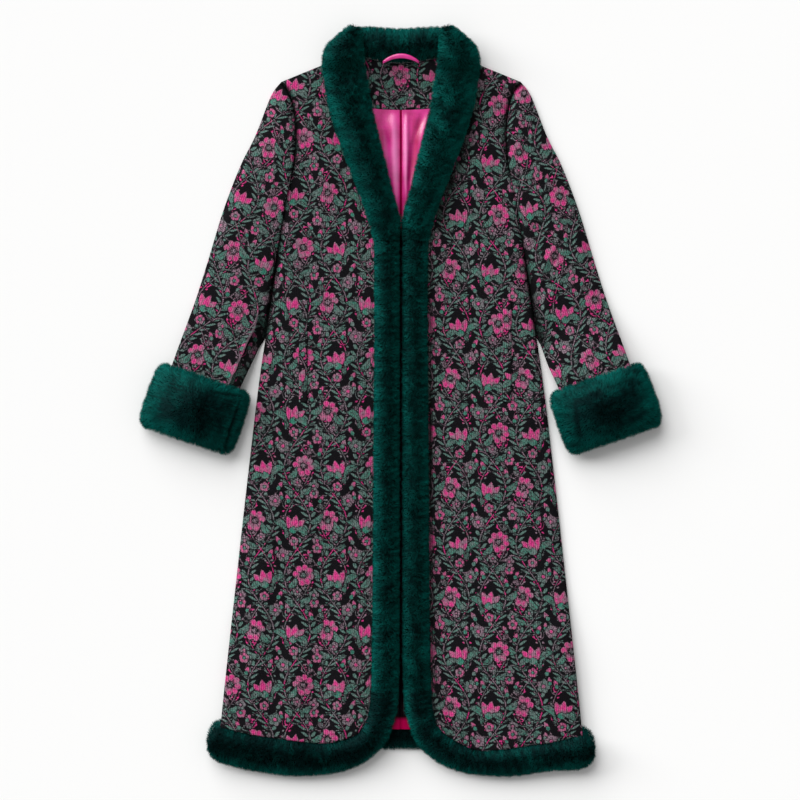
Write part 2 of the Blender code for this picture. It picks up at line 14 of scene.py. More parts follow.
import bmesh
import bpy
import numpy as np
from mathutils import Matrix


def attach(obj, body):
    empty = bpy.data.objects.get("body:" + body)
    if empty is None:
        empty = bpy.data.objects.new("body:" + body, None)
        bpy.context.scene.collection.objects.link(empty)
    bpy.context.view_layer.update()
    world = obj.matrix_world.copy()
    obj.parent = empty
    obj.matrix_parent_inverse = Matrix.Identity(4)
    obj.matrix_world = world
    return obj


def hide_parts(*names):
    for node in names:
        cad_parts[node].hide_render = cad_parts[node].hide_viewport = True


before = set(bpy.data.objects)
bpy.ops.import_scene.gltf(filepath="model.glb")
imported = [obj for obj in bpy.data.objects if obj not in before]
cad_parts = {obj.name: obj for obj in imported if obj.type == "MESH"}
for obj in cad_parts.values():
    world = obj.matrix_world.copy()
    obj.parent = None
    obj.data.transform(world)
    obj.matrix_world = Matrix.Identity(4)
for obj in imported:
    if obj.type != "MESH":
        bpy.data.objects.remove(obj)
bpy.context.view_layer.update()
LOG = logging.getLogger("opera_coat")

Array = np.ndarray
Span = tuple[float, float]
Colour = tuple[float, ...]
Piece = bpy.types.Object
Finish = bpy.types.Material
MM = 0.001
RIPPLE_WAVES = 5
RIPPLE_SPANS = ((0.0, np.pi), (0.0, 6.28), (0.7, 1.5))
RIPPLE_PEAK = 3.2
CREASE_END = 0.6
WAVE_STEP = 0.314


class Side(Enum):
    """The wearer's own sides, with the sign of X on each."""

    LEFT = 1
    RIGHT = -1

    @property
    def label(self) -> str:
        """The side's name in lower case, as node names end."""
        return self.name.lower()


class Thread(Enum):
    """Coloured threads of the jacquard, in the order of the motif attribute's parts."""

    ROSE = 0
    LEAF = 1
    MAUVE = 2


class Bloom(Enum):
    """Shapes of the sprigs in the floral repeat."""

    ROSETTE = "rosette"
    TULIP = "tulip"
    DAISY = "daisy"
    LEAF = "leaf"
    BUD = "bud"


def by_side(left: object, right: object) -> object:
    """Field of a dataclass with a value for each side."""
    return field(default_factory=lambda: {Side.LEFT: left, Side.RIGHT: right})


class EdgeRow(NamedTuple):
    """Place of a panel's edge: how far out it is at a level, or its level at a share across."""

    station: float
    place: float


class FurRow(NamedTuple):
    """Edges and pile of a fur trim at a level."""

    level: float
    inner: float
    outer: float
    pile: float


class HemRow(NamedTuple):
    """Free edge, cloth edge, underside and pile of the fur hem at a station along it."""

    station: float
    free_x: float
    free_y: float
    cloth_x: float
    cloth_y: float
    free_under: float
    pile: float


class SleeveRow(NamedTuple):
    """Ends of a cross-line of a sleeve, and the height of its underside."""

    station: float
    outer_x: float
    outer_y: float
    inner_x: float
    inner_y: float
    under: float


class Crease(NamedTuple):
    """A soft ridge (height above 0) or trough (below 0) between two points of a panel."""

    x: float
    y: float
    end_x: float
    end_y: float
    width: float
    height: float


class Sprig(NamedTuple):
    """One motif of the repeat: its place and size in millimetres, and its turn in degrees."""

    shape: Bloom
    thread: Thread
    x: float
    y: float
    turn: float
    size: float
    breadth: float


class Stem(NamedTuple):
    """One stem of the repeat: its two ends and how far its middle bows to the left."""

    x: float
    y: float
    end_x: float
    end_y: float
    bow: float


def rows_of(kind: type, *rows: tuple) -> tuple:
    """Makes a table: rows of one kind, from their plain values."""
    return tuple(kind(*row) for row in rows)


def lerp(start: Array | float, end: Array | float, share: Array | float) -> Array | float:
    """Value at a share of the way from start to end."""
    return start + (end - start) * share


def ease(start: float, end: float, value: Array | float) -> Array | float:
    """Smooth step from 0 at start to 1 at end, which may run either way."""
    share = np.clip((value - start) / (end - start), 0.0, 1.0)
    return share * share * (3 - 2 * share)


def through(rows: Sequence[NamedTuple], column: str, station: Array | float) -> Array:
    """Reads a column on the smooth curve through a table's rows.

    The curve is a Hermite cubic between rows, and its slope at a row is the harmonic mean of the rises
    before and after it, or 0 where they turn, so it never overshoots.

    Args:
        rows: The table, with the station in its first column.
        column: Name of the column to read.
        station: Where to read it.

    Returns:
        The column's value at each station.
    """
    ordered = sorted(rows)
    places = np.array([row[0] for row in ordered], float)
    values = np.array([getattr(row, column) for row in ordered], float)
    rises = np.diff(values) / np.diff(places)
    before, after = rises[:-1], rises[1:]
    together = before * after > 0
    middle = np.where(together, 2 * before * after / np.where(together, before + after, 1.0), 0.0)
    slopes = np.concatenate([rises[:1], middle, rises[-1:]])
    station = np.clip(station, places[0], places[-1])
    k = np.clip(np.searchsorted(places, station, side="right") - 1, 0, len(rises) - 1)
    span = places[k + 1] - places[k]
    t = (station - places[k]) / span
    cubic = (2 * t - 3) * t * t
    pulls = slopes[k] * span * t * (t - 1) ** 2 + slopes[k + 1] * span * t * t * (t - 1)
    return values[k] * (cubic + 1) - values[k + 1] * cubic + pulls


def creased(creases: Sequence[Crease], x: Array, y: Array) -> Array:
    """Adds up a panel's creases: a bell across each line, fading out towards both its ends.

    Args:
        creases: The creases, in the same units as x and y.
        x: Places across the panel.
        y: Places along the panel.

    Returns:
        The height at each place.
    """
    height = np.zeros(np.broadcast(x, y).shape)
    for crease in creases:
        run_x, run_y = crease.end_x - crease.x, crease.end_y - crease.y
        length = math.hypot(run_x, run_y)
        along = ((x - crease.x) * run_x + (y - crease.y) * run_y) / length ** 2
        beside = ((x - crease.x) * run_y - (y - crease.y) * run_x) / length
        fade = np.sqrt(np.clip(4 * along * (1 - along), 0.0, 1.0))
        width = crease.width * (CREASE_END + (1 - CREASE_END) * fade)
        height = height + crease.height * fade * np.exp(-((beside / width) ** 2))
    return height


def ripple(x: Array, y: Array, length: float, seed: int) -> Array:
    """Smooth uneven field from -1 to 1: a sum of waves of about one length, each its own way.

    Args:
        x: Places across.
        y: Places up.
        length: Length of the waves.
        seed: Seed of the draws.

    Returns:
        The field.
    """
    dice = np.random.default_rng(seed)
    draws = [dice.uniform(low, high, RIPPLE_WAVES) for low, high in RIPPLE_SPANS]
    total = np.zeros(np.broadcast(x, y).shape)
    for angle, phase, stretch in zip(*draws):
        wave = 2 * np.pi / (length * stretch)
        total = total + np.sin(wave * (x * math.cos(angle) + y * math.sin(angle)) + phase)
    return total / RIPPLE_PEAK


@dataclass
class FloralRepeat:
    """A half-drop repeat of flowers on swaying vines, held as distances to each thread's motifs."""

    width: float = 168.0
    height: float = 252.0
    step: float = 0.8
    vine_sway: float = 30.0
    stem_half_width: float = 1.2
    moat: float = 1.3
    reach: float = 6.0
    scale: float = 0.76
    leaf_bend: float = 0.16
    leaf_teeth: int = 6
    tooth_depth: float = 0.16
    midrib_half: float = 0.55
    vein_half: float = 0.35
    rosette_petals: int = 8
    seed_petals: int = 6
    daisy_petals: int = 5
    tulip_spread: float = 34.0
    sprigs: tuple[Sprig, ...] = rows_of(
        Sprig,
        (Bloom.ROSETTE, Thread.ROSE, -14, 66, 10, 25, 8),
        (Bloom.TULIP, Thread.ROSE, 10, 168, 12, 38, 17),
        (Bloom.DAISY, Thread.MAUVE, 33, 112, 0, 15, 6),
        (Bloom.DAISY, Thread.ROSE, -46, 128, 20, 12, 5),
        (Bloom.DAISY, Thread.MAUVE, -38, 20, 30, 12, 5), (Bloom.DAISY, Thread.ROSE, 8, 144, 8, 11, 5),
        (Bloom.DAISY, Thread.MAUVE, 0, 28, 15, 10, 4), (Bloom.LEAF, Thread.LEAF, 29, 66, -38, 40, 14),
        (Bloom.LEAF, Thread.LEAF, 23, 36, 128, 36, 13),
        (Bloom.LEAF, Thread.LEAF, -29, 186, 142, 38, 14),
        (Bloom.LEAF, Thread.LEAF, -24, 160, 22, 33, 14), (Bloom.LEAF, Thread.LEAF, -5, 4, 152, 32, 14),
        (Bloom.LEAF, Thread.LEAF, 10, -6, 35, 24, 12),
        (Bloom.LEAF, Thread.MAUVE, -24, 90, 100, 20, 10),
        (Bloom.LEAF, Thread.MAUVE, 20, 66, 80, 19, 10), (Bloom.LEAF, Thread.LEAF, 25, 150, 78, 20, 10),
        (Bloom.LEAF, Thread.MAUVE, -27, 236, 60, 18, 9), (Bloom.BUD, Thread.ROSE, 40, 140, 60, 19, 10),
        (Bloom.BUD, Thread.ROSE, -50, 92, 110, 18, 10), (Bloom.BUD, Thread.ROSE, 20, 236, 70, 18, 10),
        (Bloom.BUD, Thread.ROSE, -52, 236, 120, 17, 9), (Bloom.BUD, Thread.ROSE, 36, -8, 80, 16, 9),
    )
    stems: tuple[Stem, ...] = rows_of(
        Stem,
        (24, 32, -10, 56, 6), (-22, 150, 10, 172, -5), (20, 100, 34, 112, 4), (8, 122, 40, 140, -8),
        (-4, 132, -46, 128, 8), (28, 56, 52, 78, -6), (-24, 208, -52, 238, 6), (-12, 232, 20, 238, -6),
        (-20, 150, -46, 160, -5), (12, 16, 40, 20, 5), (-26, 196, 36, 200, -14), (6, 8, -38, 20, -7),
        (20, 92, -50, 94, 10),
    )

    def __post_init__(self) -> None:
        """Works the repeat out once, for every panel to read."""
        self.fields = self.weave()

    def offsets(self, x: Array, y: Array, centre_x: float, centre_y: float) -> tuple[Array, Array]:
        """Nearest offset from a centre, going round the repeat's edges."""
        across = (x - centre_x + self.width / 2) % self.width - self.width / 2
        up = (y - centre_y + self.height / 2) % self.height - self.height / 2
        return across, up

    @staticmethod
    def turned(across: Array, up: Array, degrees: float) -> tuple[Array, Array]:
        """Offsets along and beside a direction."""
        cosine, sine = math.cos(math.radians(degrees)), math.sin(math.radians(degrees))
        return across * cosine + up * sine, up * cosine - across * sine

    @staticmethod
    def petal(along: Array, beside: Array, length: float, breadth: float) -> Array:
        """Distance to a pointed petal, whose half-breadth swells as a sine from root to tip."""
        share = np.clip(along / length, 0, 1)
        half = 0.5 * breadth * np.sin(np.pi * share ** 0.8) ** 0.8
        return np.maximum(np.abs(beside) - half, np.abs(along - length / 2) - length / 2)

    def leaf(self, along: Array, beside: Array, length: float, breadth: float) -> Array:
        """Distance to a bent, toothed leaf, with its midrib and side veins left open.

        Args:
            along: Offsets along the leaf from its root.
            beside: Offsets beside it.
            length: Its length.
            breadth: Its breadth.

        Returns:
            Distances, negative inside.
        """
        share = np.clip(along / length, 0, 1)
        bent = beside - self.leaf_bend * length * np.sin(np.pi * share)
        tooth = 1 + self.tooth_depth * ((share * self.leaf_teeth) % 1.0)
        body = self.petal(along, bent / tooth, length, breadth)
        midrib = np.maximum(np.abs(bent) - self.midrib_half, along - 0.86 * length)
        pitch = length / self.leaf_teeth
        rib = np.abs(((along - 0.9 * np.abs(bent)) / pitch) % 1.0 - 0.5) * pitch * 0.7
        veins = np.maximum(rib - self.vein_half, np.abs(bent) - 0.34 * breadth)
        return np.maximum(body, -np.minimum(midrib, veins))

    @staticmethod
    def rosette(across: Array, up: Array, turn: float, radius: float, petals: int) -> Array:
        """Distance to a round flower, whose edge swells at each petal, with gaps between petals.

        Args:
            across: Offsets across from its centre.
            up: Offsets up from it.
            turn: Its turn in degrees.
            radius: Its radius.
            petals: How many petals it has.

        Returns:
            Distances, negative inside.
        """
        angle = np.arctan2(up, across) - math.radians(turn)
        away = np.hypot(across, up)
        edge = radius * (0.72 + 0.28 * np.abs(np.cos(angle * petals / 2)) ** 0.6)
        gap_angle = np.abs((angle * petals / (2 * np.pi)) % 1.0 - 0.5) * 2 * np.pi / petals
        gap = np.maximum(away * np.sin(gap_angle) - 0.6, 0.42 * radius - away)
        return np.maximum((away - edge) * 0.85, -gap)

    @staticmethod
    def trail(across: Array, up: Array, path: Array, half_width: float) -> Array:
        """Distance to a line through a path's points, less half its width.

        Args:
            across: Places across.
            up: Places up.
            path: Points of the path.
            half_width: Half the line's width.

        Returns:
            Distances, negative inside.
        """
        nearest = np.full(across.shape, 1e3)
        for (x, y), (end_x, end_y) in zip(path[:-1], path[1:]):
            run_x, run_y = end_x - x, end_y - y
            share = ((across - x) * run_x + (up - y) * run_y) / (run_x ** 2 + run_y ** 2)
            share = np.clip(share, 0, 1)
            nearest = np.minimum(nearest, np.hypot(across - x - share * run_x, up - y - share * run_y))
        return nearest - half_width

    def sprig_parts(self, sprig: Sprig, across: Array, up: Array) -> list[tuple[Thread, Array]]:
        """Works out the distances to a sprig's parts.

        Args:
            sprig: The motif.
            across: Offsets from its place, across the repeat.
            up: Offsets from its place, up the repeat.

        Returns:
            Each part's thread and the distance to it.
        """
        along, beside = self.turned(across, up, sprig.turn)
        away = np.hypot(across, up)
        if sprig.shape is Bloom.LEAF:
            return [(sprig.thread, self.leaf(along, beside, sprig.size, sprig.breadth))]
        if sprig.shape is Bloom.ROSETTE:
            ring = np.abs(away - sprig.breadth - 2.2) - 0.8
            petals = self.rosette(across, up, sprig.turn, sprig.size, self.rosette_petals)
            petals = np.maximum(petals, -ring)
            seeds = self.rosette(across, up, 0, 0.8 * sprig.breadth, self.seed_petals)
            return [(sprig.thread, np.maximum(petals, sprig.breadth - away)), (Thread.MAUVE, seeds)]
        if sprig.shape is Bloom.DAISY:
            heart = away - 0.3 * sprig.size
            other = Thread.ROSE if sprig.thread is Thread.MAUVE else Thread.LEAF
            petals = self.rosette(across, up, sprig.turn, sprig.size, self.daisy_petals)
            return [(sprig.thread, np.maximum(petals, 1.2 - heart)), (other, heart)]
        if sprig.shape is Bloom.TULIP:
            petals = np.full(across.shape, self.reach)
            for spread in (-self.tulip_spread, self.tulip_spread, 0):
                out, side = self.turned(across, up, sprig.turn + 90 + spread)
                part = self.petal(out, side, sprig.size, sprig.breadth)
                petals = np.minimum(np.maximum(petals, self.moat - part), part)
            cup, wide = self.turned(across, up, sprig.turn + 90)
            calyx = self.petal(cup + 6, wide, 17, 18)
            return [(sprig.thread, np.maximum(petals, 1.0 - calyx)), (Thread.LEAF, calyx)]
        calyx = self.petal(along + 4, beside, 0.62 * sprig.size, 0.95 * sprig.breadth)
        body = self.petal(along, beside, sprig.size, sprig.breadth)
        return [(sprig.thread, np.maximum(body, 0.9 - calyx)), (Thread.LEAF, calyx)]

    def weave(self) -> Array:
        """Works out one repeat: stems first, then each sprig in a dark moat of its own.

        Returns:
            Distances to the rose, leaf and mauve threads, as an array of 3 layers.
        """
        columns, rows = round(self.width / self.step), round(self.height / self.step)
        x, y = np.meshgrid(np.arange(columns) * self.step, np.arange(rows) * self.step)
        fields = np.full((3, rows, columns), self.reach)
        mauve = fields[Thread.MAUVE.value]
        drops = ((x, y), (self.width / 2 - x, y - self.height / 2))
        for drop_x, drop_y in drops:
            for stem in self.stems:
                across, up = self.offsets(drop_x, drop_y, stem.x, stem.y)
                share = np.linspace(0, 1, 13)[:, None]
                end = np.array([stem.end_x - stem.x, stem.end_y - stem.y])
                left = np.array([-end[1], end[0]]) / np.hypot(*end)
                path = share * end + 4 * share * (1 - share) * stem.bow * left
                np.minimum(mauve, self.trail(across, up, path, self.stem_half_width), out=mauve)
        for drop_x, drop_y in drops:
            for sprig in self.sprigs:
                across, up = self.offsets(drop_x, drop_y, sprig.x, sprig.y)
                parts = self.sprig_parts(sprig, across, up)
                clear = np.minimum.reduce([part for _, part in parts]) - self.moat
                if sprig.shape in (Bloom.ROSETTE, Bloom.DAISY):
                    clear = np.minimum(clear, np.hypot(across, up) - 0.6 * sprig.size)
                np.maximum(fields, -clear, out=fields)
                for thread, part in parts:
                    np.minimum(fields[thread.value], part, out=fields[thread.value])
        return np.clip(fields, -self.reach, self.reach)

    def at(self, x: Array, y: Array) -> Array:
        """Reads the repeat on the cloth.

        Args:
            x: Places across the cloth, in millimetres.
            y: Places along the cloth.

        Returns:
            Distance to each thread's motifs at each place, with the threads last.
        """
        rows, columns = self.fields.shape[1:]
        column = (x / self.scale / self.step) % columns
        row = (y / self.scale / self.step) % rows
        left, low = np.floor(column).astype(int) % columns, np.floor(row).astype(int) % rows
        right, high = (left + 1) % columns, (low + 1) % rows
        across, up = column - np.floor(column), row - np.floor(row)
        bottom = lerp(self.fields[:, low, left], self.fields[:, low, right], across)
        top = lerp(self.fields[:, high, left], self.fields[:, high, right], across)
        return np.moveaxis(lerp(bottom, top, up), 0, -1) * self.scale


class Nodes:
    """Adds and joins shader nodes in one material."""

    def __init__(self, name: str) -> None:
        """Starts an empty material with a principled shader.

        Args:
            name: Name of the material.
        """
        self.material = bpy.data.materials.new(name)
        self.material.use_nodes = True
        self.tree = self.material.node_tree
        self.shader = self.tree.nodes["Principled BSDF"]

    def add(self, kind: str, **inputs: object) -> bpy.types.Node:
        """Adds a node, with sockets set by name or joined to other sockets.

        Args:
            kind: Node type after "ShaderNode".
            inputs: Socket name, with _ for a space, or a property, and its value.

        Returns:
            The new node.
        """
        node = self.tree.nodes.new("ShaderNode" + kind)
        for name, value in inputs.items():
            if hasattr(node, name):
                setattr(node, name, value)
            else:
                self.put(node.inputs[name.replace("_", " ")], value)
        return node

    def put(self, socket: bpy.types.NodeSocket, value: object) -> None:
        """Sets a socket's value, or joins another socket to it.

        Args:
            socket: The socket.
            value: A number, a colour or another socket.
        """
        if isinstance(value, bpy.types.NodeSocket):
            self.tree.links.new(value, socket)
        else:
            socket.default_value = value

    def sum(self, operation: str, first: object, second: object) -> bpy.types.NodeSocket:
        """Arithmetic on two values.

        Args:
            operation: Name of the operation.
            first: Number or socket.
            second: Number or socket.

        Returns:
            The result's socket.
        """
        node = self.add("Math", operation=operation)
        self.put(node.inputs[0], first)
        self.put(node.inputs[1], second)
        return node.outputs[0]

    def span(
        self, value: object, start: float, end: float, low: float = 0.0, high: float = 1.0
    ) -> object:
        """Maps start to low and end to high, and holds the value between them.

        Args:
            value: Number or socket.
            start: Where the value starts.
            end: Where it ends.
            low: What the start becomes.
            high: What the end becomes.

        Returns:
            The result's socket.
        """
        node = self.add("MapRange", Value=value)
        for index, number in enumerate((start, end, low, high), start=1):
            node.inputs[index].default_value = number
        return node.outputs[0]

    def mix(self, share: object, first: object, second: object, blend: str = "MIX") -> object:
        """Mixes two colours, in the sockets that come after those for numbers and vectors.

        Args:
            share: How much of the second there is.
            first: Colour or socket.
            second: Colour or socket.
            blend: Way of blending.

        Returns:
            The result's socket.
        """
        node = self.add("Mix", data_type="RGBA", blend_type=blend)
        for index, value in ((0, share), (6, first), (7, second)):
            self.put(node.inputs[index], value)
        return node.outputs[2]

    def noise(self, place: object, scale: float, detail: float = 1.0) -> bpy.types.NodeSocket:
        """Smooth uneven values from 0 to 1, with so many swells to the metre."""
        return self.add("TexNoise", Vector=place, Scale=scale, Detail=detail).outputs[0]

    def dressed(self, **inputs: object) -> Finish:
        """Sets the shader's sockets by name, with _ for a space, and gives the material."""
        for name, value in inputs.items():
            self.put(self.shader.inputs[name.replace("_", " ")], value)
        return self.material


def rgba(red: float, green: float, blue: float) -> Colour:
    """Linear colour from one seen on screen, with parts from 0 to 255, by the usual screen curve."""
    parts = np.array([red, green, blue]) / 255
    linear = np.where(parts <= 0.04045, parts / 12.92, ((parts + 0.055) / 1.055) ** 2.4)
    return (*linear.tolist(), 1.0)


@dataclass(frozen=True)
class JacquardFinish:
    """Woven jacquard: coloured floats on a near-black ground, with tracery, grain and thread ribs."""

    repeat: FloralRepeat
    name: str = "floral_jacquard"
    ground: Colour = rgba(9, 8, 11)
    ground_fleck: Colour = rgba(28, 25, 30)
    rose: Colour = rgba(222, 62, 138)
    leaf: Colour = rgba(60, 134, 114)
    wine: Colour = rgba(128, 38, 88)
    moss: Colour = rgba(34, 84, 76)
    mauve: Colour = rgba(150, 124, 138)
    ash: Colour = rgba(112, 130, 126)
    edge: float = 0.5
    ragged_scale: float = 480.0
    grain_scale: float = 560.0
    patch_scale: float = 70.0
    drift_scale: float = 34.0
    stitch_scale: float = 430.0
    dapple_scale: float = 230.0
    relief: float = 0.6
    relief_depth: float = 0.0006
    gloss: float = 0.08
    rib: float = 0.0012
    hatch: float = 0.0036
    vine_half: float = 0.75
    leaflet_pitch: float = 13.0
    leaflet_reach: float = 11.5
    berry: float = 1.5
    berry_offset: float = 5.0
    berry_pitch: float = 9.6
    curl_pitch: float = 5.2
    curl_half: float = 0.8
    curl_reach: float = 10.0

    def far(self, nodes: Nodes, across: object, up: object) -> object:
        """Length of an offset."""
        squares = [nodes.sum("MULTIPLY", part, part) for part in (across, up)]
        return nodes.sum("SQRT", nodes.sum("ADD", *squares), 0.0)

    def wrapped(self, nodes: Nodes, value: object, half: float) -> object:
        """Value carried round to between less and more than a half step."""
        node = nodes.sum("WRAP", value, half)
        node.node.inputs[2].default_value = -half
        return node

    def vines(self, nodes: Nodes, x: object, y: object) -> tuple[object, object, object]:
        """Two sets of vines that sway against each other, with leaflets and berries in pairs along them.

        Args:
            nodes: The material's nodes.
            x: Place across the cloth, in millimetres.
            y: Place along the cloth.

        Returns:
            Distances to a vine, a leaflet and a berry, in millimetres.
        """
        size = self.repeat.scale
        turn = nodes.sum("MULTIPLY", y, 2 * math.pi / (self.repeat.height * size))
        sway = nodes.sum("MULTIPLY", nodes.sum("SINE", turn, 0.0), self.repeat.vine_sway * size)
        found = []
        for way in ("SUBTRACT", "ADD"):
            beside = self.wrapped(nodes, nodes.sum(way, x, sway), self.repeat.width * size / 4)
            found.append(nodes.sum("MULTIPLY", nodes.sum("ABSOLUTE", beside, 0.0), 0.86))
        beside = found[0]
        lean = nodes.sum("SUBTRACT", nodes.sum("MULTIPLY", y, 1.15), nodes.sum("MULTIPLY", beside, 0.9))
        phase = self.wrapped(nodes, lean, self.leaflet_pitch / 2)
        share = nodes.span(beside, 1.4, self.leaflet_reach)
        swell = nodes.sum("MULTIPLY", nodes.sum("SINE", nodes.sum("MULTIPLY", share, math.pi), 0.0), 2.6)
        apart = nodes.sum("MULTIPLY", nodes.sum("ABSOLUTE", phase, 0.0), 0.74)
        leaflet = nodes.sum("SUBTRACT", apart, swell)
        middle = nodes.sum("ABSOLUTE", nodes.sum("SUBTRACT", share, 0.5), 0.0)
        outside = nodes.sum("GREATER_THAN", middle, 0.49)
        leaflet = nodes.sum("ADD", leaflet, nodes.sum("MULTIPLY", outside, 9.0))
        off = nodes.sum("SUBTRACT", found[1], self.berry_offset)
        berry = self.far(nodes, off, self.wrapped(nodes, y, self.berry_pitch / 2))
        vine = nodes.sum("MINIMUM", found[0], nodes.sum("ADD", found[1], 0.2))
        vine = nodes.sum("SUBTRACT", vine, self.vine_half)
        return vine, leaflet, nodes.sum("SUBTRACT", berry, self.berry)

    def curls(self, nodes: Nodes, x: object, y: object) -> object:
        """Distance to spiral tendrils, set on a mirrored net so that neighbours curl against each other.

        Args:
            nodes: The material's nodes.
            x: Place across the cloth, in millimetres.
            y: Place along the cloth.

        Returns:
            The distance, in millimetres.
        """
        column = self.repeat.width * self.repeat.scale / 4
        row = self.repeat.height * self.repeat.scale / 4
        across = nodes.sum("SUBTRACT", nodes.sum("PINGPONG", x, column), column / 2)
        up = self.wrapped(nodes, nodes.sum("ADD", y, row / 3), row / 2)
        away = self.far(nodes, across, up)
        turn = nodes.sum("DIVIDE", nodes.sum("ARCTAN2", up, across), 2 * math.pi)
        coil = nodes.sum("SUBTRACT", nodes.sum("DIVIDE", away, self.curl_pitch), turn)
        line = nodes.sum("ABSOLUTE", self.wrapped(nodes, coil, 0.5), 0.0)
        line = nodes.sum("SUBTRACT", nodes.sum("MULTIPLY", line, self.curl_pitch), self.curl_half)
        return nodes.sum("MAXIMUM", line, nodes.sum("SUBTRACT", away, self.curl_reach))

    def material(self) -> Finish:
        """Builds the finish: curls, vines and berries by the cloth's place, and large motifs over them.

        A motif is strongest in colour at its heart, and greyer in patches and at its ragged edge.

        Returns:
            The material.
        """
        nodes = Nodes(self.name)
        cloth = nodes.add("UVMap", uv_map="cloth").outputs[0]
        where = nodes.add("SeparateXYZ", Vector=cloth).outputs
        x, y = nodes.sum("DIVIDE", where[0], MM), nodes.sum("DIVIDE", where[1], MM)
        motif = nodes.add("Attribute", attribute_name="motif").outputs["Vector"]
        parts = nodes.add("SeparateXYZ", Vector=motif).outputs
        shift = nodes.span(nodes.noise(cloth, self.ragged_scale), 0.25, 0.75, -0.7, 0.7)
        speck = nodes.add("TexNoise", Vector=cloth, Scale=self.grain_scale, Detail=1.0, Roughness=0.8)
        grain = speck.outputs[0]
        patch, drift = nodes.noise(cloth, self.patch_scale), nodes.noise(cloth, self.drift_scale)
        dots = nodes.add("TexVoronoi", voronoi_dimensions="2D", Vector=cloth, Scale=self.stitch_scale)
        dotted = nodes.span(dots.outputs["Distance"], 0.66, 0.4, 0.25, 1.0)
        dapple = nodes.noise(cloth, self.dapple_scale, 2.0)
        painted_shading = nodes.add("Attribute", attribute_name="painted_shading").outputs["Fac"]
        near = nodes.sum("MINIMUM", nodes.sum("MINIMUM", parts[0], parts[1]), parts[2])
        clear = nodes.span(near, 0.7, 1.7)
        vine, leaflet, berry = self.vines(nodes, x, y)
        free = nodes.sum("MULTIPLY", clear, nodes.span(nodes.sum("MINIMUM", vine, leaflet), 0.9, 1.9))
        mauve = nodes.mix(nodes.span(drift, 0.42, 0.58), self.mauve, self.ash)
        rose = nodes.mix(nodes.span(patch, 0.46, 0.66, 0.0, 0.9), self.rose, self.mauve)
        leaf = nodes.mix(nodes.span(patch, 0.44, 0.62), self.leaf, self.ash)
        ragged = [nodes.sum("ADD", parts[index], shift) for index in range(2)]
        rose = nodes.mix(nodes.span(ragged[0], -2.0, -0.1, 0.0, 0.7), rose, self.mauve)
        leaf = nodes.mix(nodes.span(ragged[1], -1.3, -0.1, 0.0, 0.7), leaf, self.ash)
        rose = nodes.mix(nodes.span(dapple, 0.5, 0.7, 0.0, 0.75), rose, self.wine)
        leaf = nodes.mix(nodes.span(dapple, 0.5, 0.7, 0.0, 0.75), leaf, self.moss)
        stalk = nodes.mix(nodes.span(drift, 0.55, 0.62), mauve, self.rose)
        curl = nodes.mix(nodes.span(patch, 0.5, 0.56), mauve, self.rose)
        colour = nodes.mix(nodes.span(grain, 0.45, 0.75), self.ground, self.ground_fleck)
        hatch = nodes.add(
            "TexWave", Vector=cloth, Scale=WAVE_STEP / self.hatch, Distortion=2.0, Detail=1.0,
            Detail_Scale=2.0,
        ).outputs["Fac"]
        weave = nodes.span(grain, 0.34, 0.66, 0.5, 1.2)
        weave = nodes.sum("MULTIPLY", weave, nodes.span(hatch, 0.1, 0.7, 0.68, 1.05))
        cover = None
        layers = (
            (self.curls(nodes, x, y), free, curl, 0.85),
            (berry, free, curl, 0.95),
            (leaflet, clear, leaf, 0.95),
            (vine, clear, stalk, 0.85),
            (parts[2], dotted, mauve, 1.0),
            (parts[1], None, leaf, 1.0),
            (parts[0], None, rose, 1.0),
        )
        for distance, room, tone, strength in layers:
            mask = nodes.span(nodes.sum("ADD", distance, shift), self.edge, -self.edge, 0.0, strength)
            if room is not None:
                mask = nodes.sum("MULTIPLY", mask, room)
            colour = nodes.mix(mask, colour, nodes.mix(1.0, tone, weave, "MULTIPLY"))
            cover = mask if cover is None else nodes.sum("MAXIMUM", cover, mask)
        twill = nodes.add(
            "TexWave", Vector=cloth, bands_direction="DIAGONAL", Scale=WAVE_STEP / self.rib,
            Distortion=1.2, Detail=1.0,
        ).outputs["Fac"]
        height = nodes.sum("ADD", nodes.sum("MULTIPLY", cover, 0.6), nodes.sum("MULTIPLY", twill, 0.5))
        height = nodes.sum("ADD", height, grain)
        bump = nodes.add("Bump", Height=height, Strength=self.relief, Distance=self.relief_depth)
        # Painted shade: the cloth darkens where this attribute nears 1, by seams, beside the collar and
        # band and on the facing; below 0 it paints a mauve highlight along the right sleeve's turned
        # seam.
        colour = nodes.mix(1.0, colour, nodes.span(painted_shading, 0.0, 0.9, 1.0, 0.08), "MULTIPLY")
        colour = nodes.mix(nodes.span(painted_shading, 0.0, -0.5, 0.0, 0.7), colour, self.mauve)
        return nodes.dressed(
            Base_Color=colour, Normal=bump.outputs[0], Roughness=nodes.span(cover, 0.0, 1.0, 0.82, 0.62),
            Specular_IOR_Level=self.gloss,
        )


@dataclass(frozen=True)
class PlushFinish:
    """Deep green pile: dark at the roots, paler at the tips, with a soft sheen."""

    name: str = "emerald_plush"
    root: Colour = rgba(0, 20, 22)
    dull: Colour = rgba(0, 40, 40)
    bright: Colour = rgba(0, 126, 116)
    sheen: Colour = rgba(10, 210, 190)
    roughness: float = 0.65
    gloss: float = 0.06
    sheen_weight: float = 0.16
    sheen_roughness: float = 0.4

    def material(self) -> Finish:
        """Builds the finish from a palette: root to tip across it, and dull to bright strands up it.

        Returns:
            The material.
        """
        nodes = Nodes(self.name)
        place = nodes.add("UVMap", uv_map="OFBake").outputs[0]
        parts = nodes.add("SeparateXYZ", Vector=place).outputs
        tip = nodes.mix(parts[1], self.dull, self.bright)
        return nodes.dressed(
            Base_Color=nodes.mix(nodes.span(parts[0], 0.0, 0.8), self.root, tip),
            Roughness=self.roughness, Specular_IOR_Level=self.gloss, Sheen_Weight=self.sheen_weight,
            Sheen_Roughness=self.sheen_roughness, Sheen_Tint=self.sheen,
        )


